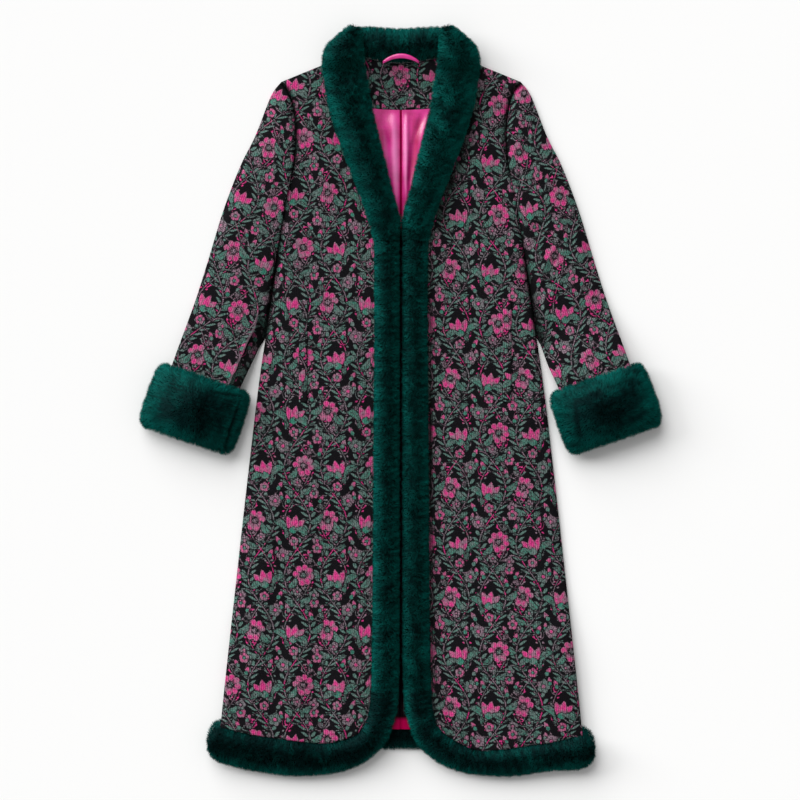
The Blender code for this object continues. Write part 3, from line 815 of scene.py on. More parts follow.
@dataclass(frozen=True)
class SatinFinish:
    """Pink satin: glossy, with fine threads, and painted gleam and shade along its folds and by the hem.
    """

    name: str = "pink_satin"
    bright: Colour = rgba(234, 54, 156)
    deep: Colour = rgba(170, 14, 98)
    gleam: Colour = rgba(255, 150, 212)
    painted_half_shade: Colour = rgba(170, 0, 68)
    shadow: Colour = rgba(14, 0, 7)
    thread_scale: float = 1400.0
    thread_draw: float = 0.12
    tone_scale: float = 40.0
    relief: float = 0.25
    relief_depth: float = 0.0002

    def material(self) -> Finish:
        """Builds the finish: drawn-out thread noise in its tone, roughness and bump.

        Returns:
            The material.
        """
        nodes = Nodes(self.name)
        cloth = nodes.add("UVMap", uv_map="cloth").outputs[0]
        drawn = nodes.add("Mapping", Vector=cloth, Scale=(1.0, self.thread_draw, 1.0)).outputs[0]
        thread = nodes.noise(drawn, self.thread_scale, 2.0)
        mixed = nodes.span(nodes.noise(cloth, self.tone_scale, 2.0), 0.35, 0.7, 0.0, 0.6)
        mixed = nodes.sum("ADD", mixed, nodes.span(thread, 0.3, 0.7, 0.0, 0.4))
        bump = nodes.add("Bump", Height=thread, Strength=self.relief, Distance=self.relief_depth)
        # Painted light from the shade attribute: a gleam below 0, crimson half shade up to 0.5, and
        # painted shadow up to 1.
        shade = nodes.add("Attribute", attribute_name="shade").outputs["Fac"]
        colour = nodes.mix(mixed, self.bright, self.deep)
        colour = nodes.mix(nodes.span(shade, 0.0, -0.5), colour, self.gleam)
        colour = nodes.mix(nodes.span(shade, 0.0, 0.5), colour, self.painted_half_shade)
        return nodes.dressed(
            Base_Color=nodes.mix(nodes.span(shade, 0.5, 1.0), colour, self.shadow),
            Normal=bump.outputs[0], Roughness=nodes.span(thread, 0.3, 0.7, 0.24, 0.36),
            Specular_IOR_Level=nodes.span(shade, 0.2, 0.5, 0.8, 0.05),
        )


@dataclass(frozen=True)
class PaperFinish:
    """Plain pale floor."""

    name: str = "pale_floor"
    colour: Colour = (0.93, 0.93, 0.925, 1.0)
    roughness: float = 0.95

    def material(self) -> Finish:
        """Builds the finish."""
        return Nodes(self.name).dressed(
            Base_Color=self.colour, Roughness=self.roughness, Specular_IOR_Level=0.0
        )


def mesh_object(name: str, points: Array, corners: Array, sizes: Array) -> Piece:
    """Puts points and faces into a new smooth-shaded object.

    Args:
        name: Name of the piece.
        points: Places of the vertices, in millimetres.
        corners: Vertex of each face corner, face after face.
        sizes: Number of corners of each face.

    Returns:
        The object, linked to the scene.
    """
    mesh = bpy.data.meshes.new(name)
    mesh.vertices.add(len(points))
    mesh.vertices.foreach_set("co", (points * MM).astype(np.float32).ravel())
    mesh.loops.add(len(corners))
    mesh.loops.foreach_set("vertex_index", corners.astype(np.int32))
    mesh.polygons.add(len(sizes))
    starts = np.concatenate([[0], np.cumsum(sizes)[:-1]])
    mesh.polygons.foreach_set("loop_start", starts.astype(np.int32))
    mesh.polygons.foreach_set("use_smooth", np.ones(len(sizes), bool))
    mesh.update(calc_edges=True)
    piece = bpy.data.objects.new(name, mesh)
    bpy.context.scene.collection.objects.link(piece)
    return piece


def put_uv(piece: Piece, name: str, corners: Array) -> None:
    """Gives each face corner a place on the flat cloth or on a palette."""
    piece.data.uv_layers.new(name=name).data.foreach_set("uv", corners.astype(np.float32).ravel())


def put_share(piece: Piece, name: str, values: Array) -> None:
    """Gives each point a number for its finish to read."""
    layer = piece.data.attributes.new(name, "FLOAT", "POINT")
    layer.data.foreach_set("value", values.astype(np.float32).ravel())


def grid_object(
    name: str, points: Array, cloth: Array | None = None, ring: bool = False
) -> Piece:
    """Makes a surface from a grid of points, in rows from the top and columns from the left.

    Args:
        name: Name of the piece.
        points: Places, in rows and columns, in millimetres.
        cloth: Place of each point on the flat cloth, for the weave.
        ring: True if the last column joins the first.

    Returns:
        The object.
    """
    rows, columns = points.shape[:2]
    index = np.arange(rows * columns).reshape(rows, columns)
    if ring:
        index = np.concatenate([index, index[:, :1]], axis=1)
    quads = np.stack([index[:-1, :-1], index[1:, :-1], index[1:, 1:], index[:-1, 1:]], -1).reshape(-1, 4)
    piece = mesh_object(name, points.reshape(-1, 3), quads.ravel(), np.full(len(quads), 4))
    if cloth is not None:
        across, down = np.meshgrid(np.linspace(0, 1, columns), np.linspace(1, 0, rows))
        for layer, places in (("OFBake", np.stack([across, down], -1)), ("cloth", cloth * MM)):
            put_uv(piece, layer, places.reshape(-1, 2)[quads.ravel()])
    return piece


def padded(grid: Array) -> Array:
    """Repeats a grid's border once more, all round."""
    return np.pad(grid, ((1, 1), (1, 1), (0, 0)), mode="edge")


def skirted(grid: Array, depth: float) -> Array:
    """Adds a turned-down border round a grid of points: the edge again, lowered by a depth.

    Args:
        grid: Grid of places.
        depth: How far the border drops.

    Returns:
        The grid with its border.
    """
    wide = padded(grid)
    border = np.ones(wide.shape[:2])
    border[1:-1, 1:-1] = 0
    wide[..., 2] -= border * depth
    return wide


@dataclass
class Placer:
    """Puts finished pieces on the coat's body, with their finish and the solid they stand for."""

    body: str = "root"

    def place(
        self, piece: Piece, finish: Finish, slot: str, *nodes: str
    ) -> Piece:
        """Rides a piece on the body, gives it its finish, and has it stand for solids.

        Args:
            piece: The finished piece.
            finish: Its material.
            slot: The record's material slot; not used.
            nodes: Solids that the piece replaces.

        Returns:
            The piece.
        """
        piece.data.materials.append(finish)
        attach(piece, self.body)
        if nodes:
            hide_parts(*nodes)
        LOG.info("%s: %d faces", piece.name, len(piece.data.polygons))
        return piece


@dataclass
class CoatForm:
    """Cut of the coat: outlines and heights that its pieces share."""

    shell: float = 3.0
    neck_half: float = 84.0
    neck_level: float = 609.0
    neck_dip: float = 17.5
    shoulder_half: float = 210.0
    shoulder_level: float = 558.0
    underarm_level: float = 345.0
    front_floor: float = 5.6
    lining_floor: float = 3.3
    facing_half: float = 96.0
    facing_depth: float = 73.0
    facing_sag: float = 9.0
    hem_lift: float = 9.2
    hem_lift_start: float = -300.0
    hem_lift_end: float = -480.0
    back_hem_level: float = -546.0
    back_hem_sweep: float = 14.0
    side_seam_half: float = 317.0
    left_dip: float = 14.0
    dip_start: float = 70.0
    dip_end: float = 150.0
    fold_start: float = 20.0
    fold_lead: float = 150.0
    fold_tail: float = 90.0
    fold_steep: float = 3.0
    high_fold: float = 145.0
    arm_before: float = 10.0
    arm_after: float = 40.0
    side_roll: float = 1.1
    side_roll_width: float = 16.0
    body_side: tuple[EdgeRow, ...] = rows_of(
        EdgeRow,
        (558, 210), (542, 197), (514, 188), (475, 184), (440, 185), (406, 190), (380, 199), (345, 207),
        (297, 212), (210, 223), (122, 236), (33, 249), (-100, 265), (-350, 293), (-577, 317),
        (-640, 323),
    )
    front_edge: tuple[EdgeRow, ...] = rows_of(
        EdgeRow,
        (609, 84), (560, 88), (514, 86), (436, 66), (364, 47), (330, 43), (279, 46.8), (122, 46.3),
        (-33, 47.3), (-350, 49.3), (-507, 51.9), (-640, 51.9),
    )
    hem_edge: tuple[EdgeRow, ...] = rows_of(
        EdgeRow,
        (0.0, -506), (0.011, -538), (0.041, -567), (0.09, -584), (0.184, -595.5), (0.327, -601.5),
        (0.52, -596), (0.73, -588.5), (1.0, -574.5),
    )
    folds: tuple[Crease, ...] = rows_of(
        Crease,
        (92, 190, 112, -600, 46, 3.6), (150, 60, 188, -600, 56, 4.4), (205, 20, 262, -600, 44, 3.8),
        (150, 520, 120, 330, 40, 2.4), (205, 330, 196, 190, 30, 2.6),
    )

    def side_edge(self, level: Array | float) -> Array:
        """Distance of the armhole or side seam from the centre line."""
        return through(self.body_side, "place", level)

    def neck_edge(self, x: Array | float) -> Array:
        """Level of the neckline and shoulder line at a distance from the centre line.

        Args:
            x: Distances from the centre line.

        Returns:
            The levels.
        """
        x = np.abs(x)
        dip = self.neck_level - self.neck_dip * (1 - (x / self.neck_half) ** 2)
        share = (x - self.neck_half) / (self.shoulder_half - self.neck_half)
        return np.where(x <= self.neck_half, dip, lerp(self.neck_level, self.shoulder_level, share))

    def facing_edge(self, x: Array | float) -> Array:
        """Level where the neck facing ends and the lining begins."""
        sag = self.facing_sag * (1 - (np.asarray(x) / self.facing_half) ** 2)
        return self.neck_level - self.neck_dip - self.facing_depth - sag

    def back_hem_edge(self, x: Array) -> Array:
        """Level of the seam between the back and its fur hem."""
        return self.back_hem_level - self.back_hem_sweep * (x / self.side_seam_half) ** 2

    def hem_dip(self, side: Side, x: Array) -> Array:
        """How much lower the seam of the hem lies on the left front."""
        return self.left_dip * ease(self.dip_start, self.dip_end, x) * (side is Side.LEFT)

    def hem_rise(self, level: Array) -> Array:
        """How far the layers above the back hem are lifted at a level."""
        return self.hem_lift * ease(self.hem_lift_start, self.hem_lift_end, level)

    def fold_height(self, x: Array, level: Array) -> Array:
        """Height of a front's long folds: a bell across each line, faded in, and out if it ends high.

        Args:
            x: Distances from the centre line.
            level: Levels on the coat.

        Returns:
            The heights.
        """
        height = np.zeros(np.broadcast(x, level).shape)
        for fold in self.folds:
            share = (level - fold.y) / (fold.end_y - fold.y)
            offset = (x - lerp(fold.x, fold.end_x, share)) / fold.width
            fade = ease(fold.y + self.fold_start, fold.y - self.fold_lead, level)
            if fold.end_y > self.high_fold:
                fade = fade * ease(fold.end_y - self.fold_start, fold.end_y + self.fold_tail, level)
            height = height + fold.height * fade * np.exp(-self.fold_steep * offset * offset)
        return height

    def front_top(self, x: Array, level: Array) -> Array:
        """Height of a front's outer face, which rolls down towards the side seam.

        Args:
            x: Distances from the centre line.
            level: Levels on the coat.

        Returns:
            The heights.
        """
        arm = self.underarm_level
        below_arm = ease(arm + self.arm_before, arm - self.arm_after, level)
        edge = np.clip(1 - (self.side_edge(level) - x) / self.side_roll_width, 0.0, 1.0)
        lift = self.hem_rise(level) + self.fold_height(x, level) * (1 - edge)
        return self.front_floor + self.shell + lift - self.side_roll * below_arm * edge * edge


@dataclass
class Jacquard:
    """Jacquard panels: the fronts, back, neck facing and pocket welts."""

    form: CoatForm
    repeat: FloralRepeat
    finish: Finish
    placer: Placer
    front_rows: int = 430
    front_columns: int = 100
    back_rows: int = 210
    back_columns: int = 96
    lip: float = 2.6
    seam_roll: float = 2.6
    seam_width: float = 12.0
    seam_power: float = 1.7
    painted_shade_width: float = 8.0
    painted_shade_levels: Span = (50.0, 90.0)
    seam_reach: float = 0.6
    reach_levels: Span = (330.0, 350.0)
    clearance: float = 0.3
    column_spread: float = 1.12
    ripple_height: float = 0.25
    ripple_length: float = 60.0
    back_inset: float = 0.5
    back_roll: float = 1.9
    back_roll_width: float = 12.0
    back_lip: float = -1.6
    welt_x: dict[Side, float] = by_side(179.0, 164.0)
    welt_width: float = 15.0
    welt_top: float = 175.0
    welt_bottom: float = -4.0
    welt_lift: float = 1.6
    welt_round: float = 0.85
    welt_lip: float = 1.4
    welt_rows: int = 90
    welt_columns: int = 9
    facing_rows: int = 40
    facing_columns: int = 84
    facing_gap: float = 0.8
    facing_height: float = 4.7
    facing_bow: float = 0.5
    facing_bow_length: float = 60.0
    facing_roll: float = 0.6
    facing_roll_share: float = 0.06
    facing_ripple: float = 0.2
    facing_ripple_length: float = 50.0
    facing_lip: float = 1.0
    facing_shade: float = 0.17
    pattern_drop: dict[str, Span] = field(
        default_factory=lambda: {
            "left": (31.0, 12.0),
            "right": (118.0, 70.0),
            "back": (0.0, 40.0),
            "facing": (77.0, 150.0),
            "welt": (60.0, 100.0),
        }
    )
    front_creases: dict[Side, tuple[Crease, ...]] = by_side(
        rows_of(
            Crease,
            (96, 400, 150, 300, 12, -1.0), (196, 300, 120, 210, 14, 0.9),
            (216, 240, 150, 120, 12, -0.9), (70, 250, 66, 30, 10, 0.7), (120, 190, 108, -60, 13, -0.8),
            (232, 90, 214, -170, 12, 0.9), (160, -60, 172, -330, 15, -1.1),
            (92, -150, 86, -400, 12, 0.8), (226, -220, 248, -480, 14, -1.2),
            (130, -300, 140, -560, 15, 1.2), (276, -360, 292, -560, 10, 0.9),
            (70, -420, 84, -560, 10, -0.8),
        ),
        rows_of(
            Crease,
            (112, 430, 146, 320, 13, 0.9), (188, 330, 130, 220, 12, -1.0),
            (214, 220, 160, 130, 11, 0.8), (76, 230, 74, 40, 11, -0.7), (128, 150, 122, -90, 14, 0.9),
            (236, 60, 224, -150, 11, -0.9), (150, -90, 160, -300, 14, 1.0),
            (84, -120, 92, -380, 13, -0.9), (232, -200, 256, -500, 13, 1.2),
            (120, -330, 128, -570, 14, -1.2), (282, -330, 296, -550, 10, -0.8),
            (180, -440, 190, -580, 12, 1.0),
        ),
    )
    # Painted shadow of the left collar and front band, cast on the left front.
    lapel_shade: tuple[Crease, ...] = rows_of(
        Crease,
        (142, 560, 126, 478, 10, 0.5), (132, 500, 84, 368, 14, 0.75), (94, 395, 54, 288, 14, 0.7),
        (53, 340, 51, -200, 5, 0.6), (51, 20, 56, -560, 5, 0.6),
    )
    back_creases: tuple[Crease, ...] = rows_of(
        Crease,
        (-120, 480, -60, 300, 22, 0.5), (130, 450, 90, 240, 20, 0.5), (-40, 200, -60, -300, 26, 0.5),
        (60, 120, 90, -420, 24, 0.5), (-170, 60, -220, -480, 24, 0.5), (190, 20, 240, -500, 22, 0.5),
        (0, -100, 10, -520, 20, 0.5),
    )

    def woven(
        self, name: str, points: Array, cloth: Array, drop: Span, painted_shading: Array | None = None
    ) -> Piece:
        """Makes a panel's surface, with the repeat's distances on its points.

        Args:
            name: Name of the piece.
            points: Grid of places.
            cloth: Grid of places on the flat cloth.
            drop: Where the repeat starts on that cloth.
            painted_shading: How deep in a seam's shade each place lies, from 0 to 1.

        Returns:
            The panel.
        """
        cloth = cloth + np.array(drop)
        piece = grid_object(name, points, cloth)
        motif = self.repeat.at(cloth[..., 0], cloth[..., 1])
        layer = piece.data.attributes.new("motif", "FLOAT_VECTOR", "POINT")
        layer.data.foreach_set("vector", motif.astype(np.float32).ravel())
        if painted_shading is not None:
            put_share(piece, "painted_shading", painted_shading)
        return piece

    def panel(
        self, node: str, points: Array, lip: float, drop: str, painted_shading: Array | None = None
    ) -> Piece:
        """Makes a panel that lies as it was cut, with a turned border.

        Args:
            node: The solid that it stands for.
            points: Grid of places.
            lip: Depth of the border.
            drop: Name of the place where the repeat starts.
            painted_shading: How deep in a seam's shade each place lies, from 0 to 1.

        Returns:
            The panel.
        """
        if painted_shading is not None:
            painted_shading = np.pad(painted_shading, 1, mode="edge")
        cloth = padded(points[..., :2])
        return self.woven(f"{node}_cloth", skirted(points, lip), cloth, self.pattern_drop[drop], painted_shading)

    def front_points(self, side: Side, rows: int, columns: int) -> Array:
        """Outer face of a front: its cut spread from band to side, with folds, creases and seams.

        Args:
            side: Side of the coat.
            rows: Points down the front.
            columns: Points across it.

        Returns:
            The grid of places.
        """
        form = self.form
        share = np.linspace(0, 1, columns)[None, :] ** self.column_spread
        down = np.linspace(0, 1, rows)[:, None]
        top = lerp(form.neck_level, form.shoulder_level, share)
        foot = lerp(form.front_edge[-1].place, form.side_seam_half, share)
        level = lerp(top, through(form.hem_edge, "place", share) - form.hem_dip(side, foot), down)
        inner, outer = through(form.front_edge, "place", level), form.side_edge(level)
        x = lerp(inner, outer + self.seam_reach * ease(*self.reach_levels, level), share)
        height = form.front_top(x, level) - self.clearance + creased(self.front_creases[side], x, level)
        height = height + self.ripple_height * ripple(x, level, self.ripple_length, 3 + side.value)
        seam = np.clip(1 - np.minimum(outer - x, top - level) / self.seam_width, 0.0, 1.0)
        height = height - self.seam_roll * seam ** self.seam_power
        return np.stack([side.value * x, level, height], -1)

    def build_front(self, side: Side) -> Piece:
        """Makes a front and dresses it.

        Args:
            side: Side of the coat.

        Returns:
            The front.
        """
        points = self.front_points(side, self.front_rows, self.front_columns)
        if side is Side.RIGHT:
            points = points[:, ::-1]
        level = points[..., 1]
        # Painted shade along the side seam and armhole, and on the left front a painted shadow beside
        # the collar and band.
        inside = self.form.side_edge(level) - np.abs(points[..., 0])
        painted_shading = np.clip(1 - inside / self.painted_shade_width, 0.0, 1.0) * ease(*self.painted_shade_levels, level)
        if side is Side.LEFT:
            painted_shading = np.clip(painted_shading + creased(self.lapel_shade, points[..., 0], level), 0.0, 1.0)
        node = f"front_{side.label}"
        piece = self.panel(node, points, self.lip, side.label, painted_shading)
        return self.placer.place(piece, self.finish, "jacquard", node)

    def build_back(self) -> Piece:
        """Makes the back: its outer face lies on the floor, and its edges roll up to the side seams.

        Returns:
            The back.
        """
        form = self.form
        place = np.linspace(-1, 1, self.back_columns)[None, :]
        down = np.linspace(0, 1, self.back_rows)[:, None]
        top = form.neck_edge(place * form.shoulder_half)
        bottom = form.back_hem_edge(place * form.side_seam_half)
        level = lerp(top, bottom, down)
        half = form.side_edge(level) - self.back_inset
        x = place * half
        roll = np.clip(1 - (half - np.abs(x)) / self.back_roll_width, 0.0, 1.0)
        height = self.clearance + self.back_roll * roll * roll + creased(self.back_creases, x, level)
        points = np.stack([x, level, height], -1)[:, ::-1]
        piece = self.panel("back", points, self.back_lip, "back")
        return self.placer.place(piece, self.finish, "jacquard", "back")

    def build_facing(self) -> Piece:
        """Makes the neck facing, a shaped strip inside the back of the neck.

        Returns:
            The facing.
        """
        form = self.form
        x = np.linspace(-form.facing_half, form.facing_half, self.facing_columns)[None, :]
        down = np.linspace(0, 1, self.facing_rows)[:, None]
        level = lerp(form.neck_edge(x) - self.facing_gap, form.facing_edge(x), down)
        x = np.broadcast_to(x, level.shape)
        edge = np.clip(1 - np.minimum(down, 1 - down) / self.facing_roll_share, 0.0, 1.0)
        height = self.facing_height + self.facing_bow * np.cos(x / self.facing_bow_length)
        height = height - self.facing_roll * edge * edge
        height = height + self.facing_ripple * ripple(x, level, self.facing_ripple_length, 9)
        points = np.stack([x, level, height], -1)
        # Painted shade of the collar, spread evenly over the whole facing.
        shade = np.full(level.shape, self.facing_shade)
        piece = self.panel("neck_facing", points, self.facing_lip, "facing", shade)
        return self.placer.place(piece, self.finish, "jacquard", "neck_facing")

    def build_welt(self, side: Side) -> Piece:
        """Makes a pocket welt: a narrow folded strip on the front, rounded at its folded edge.

        Args:
            side: Side of the coat.

        Returns:
            The welt.
        """
        across = np.linspace(0, 1, self.welt_columns)[None, :]
        level = np.linspace(self.welt_top, self.welt_bottom, self.welt_rows)[:, None]
        x = self.welt_x[side] + self.welt_width * across + 0 * level
        level = level + 0 * x
        swell = 1 - (self.welt_round * (2 * across - 1)) ** 2
        height = self.form.front_top(x, level) + creased(self.front_creases[side], x, level)
        height = height + self.welt_lift * np.sqrt(np.clip(swell, 0.0, 1.0))
        points = np.stack([side.value * x, level, height], -1)
        if side is Side.RIGHT:
            points = points[:, ::-1]
        node = f"pocket_welt_{side.label}"
        piece = self.panel(node, points, self.welt_lip, "welt")
        return self.placer.place(piece, self.finish, "jacquard", node)

    def build(self) -> None:
        """Makes every jacquard panel."""
        self.build_back()
        self.build_facing()
        for side in Side:
            self.build_front(side)
            self.build_welt(side)


@dataclass
class Sleeves:
    """Jacquard sleeves: flattened tubes from the armholes into the cuffs."""

    form: CoatForm
    jacquard: Jacquard
    upper: int = 64
    fold: int = 6
    under: int = 20
    rows: int = 290
    height: float = 8.4
    crown: float = 6.5
    crown_in_cuff: float = 1.4
    puff_reach: float = 0.07
    armhole_gap: float = 0.5
    armhole_reach: float = 0.34
    seam_dip: float = 6.8
    end_station: float = 0.985
    body_reach: float = 5.0
    reach_start: Span = (0.0, 0.06)
    reach_end: Span = (0.69, 0.6)
    left_reach: float = 6.0
    left_start: Span = (0.62, 0.76)
    into_cuff: Span = (0.58, 0.75)
    fold_roll: float = 8.2
    fold_width: float = 22.0
    roll_power: float = 1.3
    roll_end: Span = (0.74, 0.6)
    outer_roll: float = 0.4
    dip_reach: float = 0.038
    dip_power: float = 1.4
    painted_shade_width: float = 24.0
    painted_shade_start: Span = (0.0, 0.1)
    painted_shade_end: Span = (0.72, 0.62)
    painted_shade_at_head: float = 0.016
    strip_start: Span = (0.5, 0.54)
    strip_line: float = 0.83
    strip_half: float = 0.02
    strip_edge: Span = (0.006, 0.016)
    strip_shade: float = 0.74
    strip_gleam: float = 0.5
    gleam_half: float = 0.012
    pattern_drop: dict[Side, Span] = by_side((70.0, 90.0), (10.0, 90.0))
    axis: Span = (0.324, -0.946)
    under_shift: float = 60.0
    table: tuple[SleeveRow, ...] = rows_of(
        SleeveRow,
        (0.0, 211, 559, 208.5, 345, 0), (0.035, 222, 545.5, 211.3, 325, 0),
        (0.06, 229.5, 532.5, 213.2, 311, 0), (0.09, 235, 519, 215.5, 296, 0),
        (0.20, 257, 462, 221.5, 250, 0), (0.29, 280, 416, 227, 213, 0), (0.43, 311, 336, 234, 163, 0),
        (0.57, 340.5, 240, 241, 117, 0), (0.66, 361, 175, 247.5, 96, 1.5),
        (0.78, 393.0, 84.5, 274.8, 35.5, 12.4), (0.82, 402.6, 57.6, 283.2, 16.9, 12.4),
        (1.0, 437.6, -44.4, 318.2, -85.1, 12.4),
    )
    creases: dict[Side, tuple[Crease, ...]] = by_side(
        rows_of(
            Crease,
            (0.10, 0.04, 0.55, 0.16, 0.020, 1.4), (0.95, 0.14, 0.45, 0.28, 0.022, 1.8),
            (0.92, 0.24, 0.40, 0.30, 0.016, -1.4), (0.98, 0.36, 0.36, 0.42, 0.020, 1.9),
            (0.95, 0.46, 0.30, 0.42, 0.016, -1.5), (0.96, 0.52, 0.30, 0.50, 0.022, 2.0),
            (0.10, 0.48, 0.55, 0.58, 0.018, 1.2), (0.94, 0.60, 0.42, 0.66, 0.018, -1.2),
            (0.10, 0.66, 0.72, 0.73, 0.020, 1.6),
        ),
        rows_of(
            Crease,
            (0.08, 0.06, 0.50, 0.20, 0.022, 1.5), (0.96, 0.12, 0.50, 0.22, 0.018, -1.3),
            (0.97, 0.20, 0.38, 0.34, 0.022, 1.9), (0.96, 0.33, 0.42, 0.37, 0.016, -1.5),
            (0.97, 0.40, 0.34, 0.46, 0.022, 1.9), (0.95, 0.50, 0.36, 0.49, 0.016, -1.4),
            (0.96, 0.57, 0.26, 0.54, 0.020, 1.8), (0.08, 0.55, 0.60, 0.64, 0.018, 1.1),
            (0.92, 0.66, 0.20, 0.71, 0.020, 1.4), (0.82, 0.46, 0.82, 0.82, 0.025, 2.6),
            (0.92, 0.46, 0.92, 0.82, 0.06, -2.6),
        ),
    )

    def section(self) -> tuple[Array, Array, Array]:
        """Way round a flattened tube: share across from the outer fold, and the direction outwards.

        Returns:
            The share across, and the parts of the direction across and up, at each point of the ring.
        """
        turn = np.linspace(0, np.pi, self.fold + 2)[1:-1]
        top, under = np.linspace(0, 1, self.upper), np.linspace(1, 0, self.under)
        across = np.concatenate([top, np.ones(self.fold), under, np.zeros(self.fold)])
        out_x = np.concatenate([0 * top, np.sin(turn), 0 * under, -np.sin(turn)])
        out_z = np.concatenate([0 * top + 1, np.cos(turn), 0 * under - 1, -np.cos(turn)])
        return across, out_x, out_z

    def seam_shade(self, side: Side, station: Array, share: Array, length: Array) -> Array:
        """Painted shade at the sleeve's head and along the body, and painted shade and gleam by the
        turned seam of the right sleeve.

        Args:
            side: Side of the coat.
            station: Places along the sleeve.
            share: Shares of the way from the outer fold to the inner one.
            length: Length of each cross-line.

        Returns:
            How deep the painted shade lies at each place, up to 1, and below 0 for the painted gleam on
            the seam.
        """
        beside = np.clip(1 - ((1 - share) * length - self.body_reach) / self.painted_shade_width, 0.0, 1.0)
        beside = beside * ease(*self.painted_shade_end, station) * ease(*self.painted_shade_start, station)
        painted_shading = np.maximum(beside, np.clip(1 - station / self.painted_shade_at_head, 0.0, 1.0) + 0 * share)
        if side is Side.LEFT:
            return painted_shading
        # Right sleeve: painted shade over the strip past its turned seam, and a painted highlight along
        # the seam's line.
        past = share - self.strip_line
        strip = self.strip_shade * ease(*self.strip_edge, past)
        strip = strip - self.strip_gleam * np.exp(-((past / self.gleam_half) ** 2))
        kept = (painted_shading > strip) & (np.abs(past) >= self.strip_half)
        return np.where(kept, painted_shading, strip * ease(*self.strip_start, station))

    def points(self, side: Side) -> tuple[Array, Array]:
        """Sleeve's surface: the flattened ring carried along its cross-lines, pulled to the armhole.

        Args:
            side: Side of the coat.

        Returns:
            Grid of places, and how deep in a seam's shade each of them lies.
        """
        across, out_x, out_z = (ring[None, :] for ring in self.section())
        station = np.linspace(0, self.end_station, self.rows)[:, None]
        columns = [through(self.table, name, station) for name in SleeveRow._fields[1:]]
        outer_x, outer_y, inner_x, inner_y, under = columns
        near = ease(*self.reach_start, station) * ease(*self.reach_end, station)
        inner_x = inner_x - self.body_reach * near
        if side is Side.LEFT:
            inner_x = inner_x - self.left_reach * ease(*self.left_start, station)
        length = np.hypot(outer_x - inner_x, outer_y - inner_y)
        radius = self.height / 2
        share = (lerp(radius, length - radius, across) + radius * out_x) / length
        x, y = lerp(outer_x, inner_x, share), lerp(outer_y, inner_y, share)
        level = lerp(self.form.shoulder_level, self.form.underarm_level, share)
        straight = lerp(self.table[0].outer_x, self.table[0].inner_x, share)
        pull = 1 - ease(0.0, self.armhole_reach, station)
        x = x + pull * (self.form.side_edge(level) + self.armhole_gap - straight)
        full = (1 - np.abs(2 * across - 1) ** 3) ** 0.7
        crown = lerp(self.crown, self.crown_in_cuff, ease(*self.into_cuff, station))
        rise = np.sqrt(np.clip(station / self.puff_reach, 0.0, 1.0))
        puff = (crown + creased(self.creases[side], share, station)) * full * rise
        dip = self.seam_dip * np.clip(1 - station / self.dip_reach, 0.0, 1.0) ** self.dip_power
        from_fold = np.minimum(share, 1 - share) * length
        roll = self.fold_roll * np.clip(1 - from_fold / self.fold_width, 0.0, 1.0) ** self.roll_power
        roll = roll * ease(*self.roll_end, station) * np.where(share > 0.5, 1.0, self.outer_roll)
        height = under + (radius - 0.5 * roll) * (1 + out_z)
        height = height + puff * (out_z == 1.0) - 0.5 * dip * (1 + out_z)
        places = np.stack([side.value * x, y, np.maximum(height, self.jacquard.clearance)], -1)
        return places, self.seam_shade(side, station, share, length)

    def ring_order(self, side: Side) -> Array:
        """Upward part of the outward direction, round the ring in the order of a side's columns."""
        up = self.section()[2]
        up = up[::-1] if side is Side.RIGHT else up
        return np.append(up, up[0])[None, :]

    def build_sleeve(self, side: Side) -> Piece:
        """Makes a sleeve and dresses it, with the repeat running along it.

        Args:
            side: Side of the coat.

        Returns:
            The sleeve.
        """
        points, painted_shading = self.points(side)
        if side is Side.RIGHT:
            points, painted_shading = points[:, ::-1], painted_shading[:, ::-1]
        points, painted_shading = (np.concatenate([grid, grid[:, :1]], axis=1) for grid in (points, painted_shading))
        axis_x, axis_y = side.value * self.axis[0], self.axis[1]
        across = points[..., 0] * axis_y - points[..., 1] * axis_x
        along = points[..., 0] * axis_x + points[..., 1] * axis_y
        below = np.broadcast_to(self.ring_order(side) < 0, across.shape)
        cloth = np.stack([np.where(below, across + self.under_shift, across), -along], -1)
        node = f"sleeve_{side.label}"
        piece = self.jacquard.woven(f"{node}_cloth", points, cloth, self.pattern_drop[side], painted_shading)
        return self.jacquard.placer.place(piece, self.jacquard.finish, "jacquard", node)

    def build(self) -> None:
        """Makes both sleeves."""
        for side in Side:
            self.build_sleeve(side)


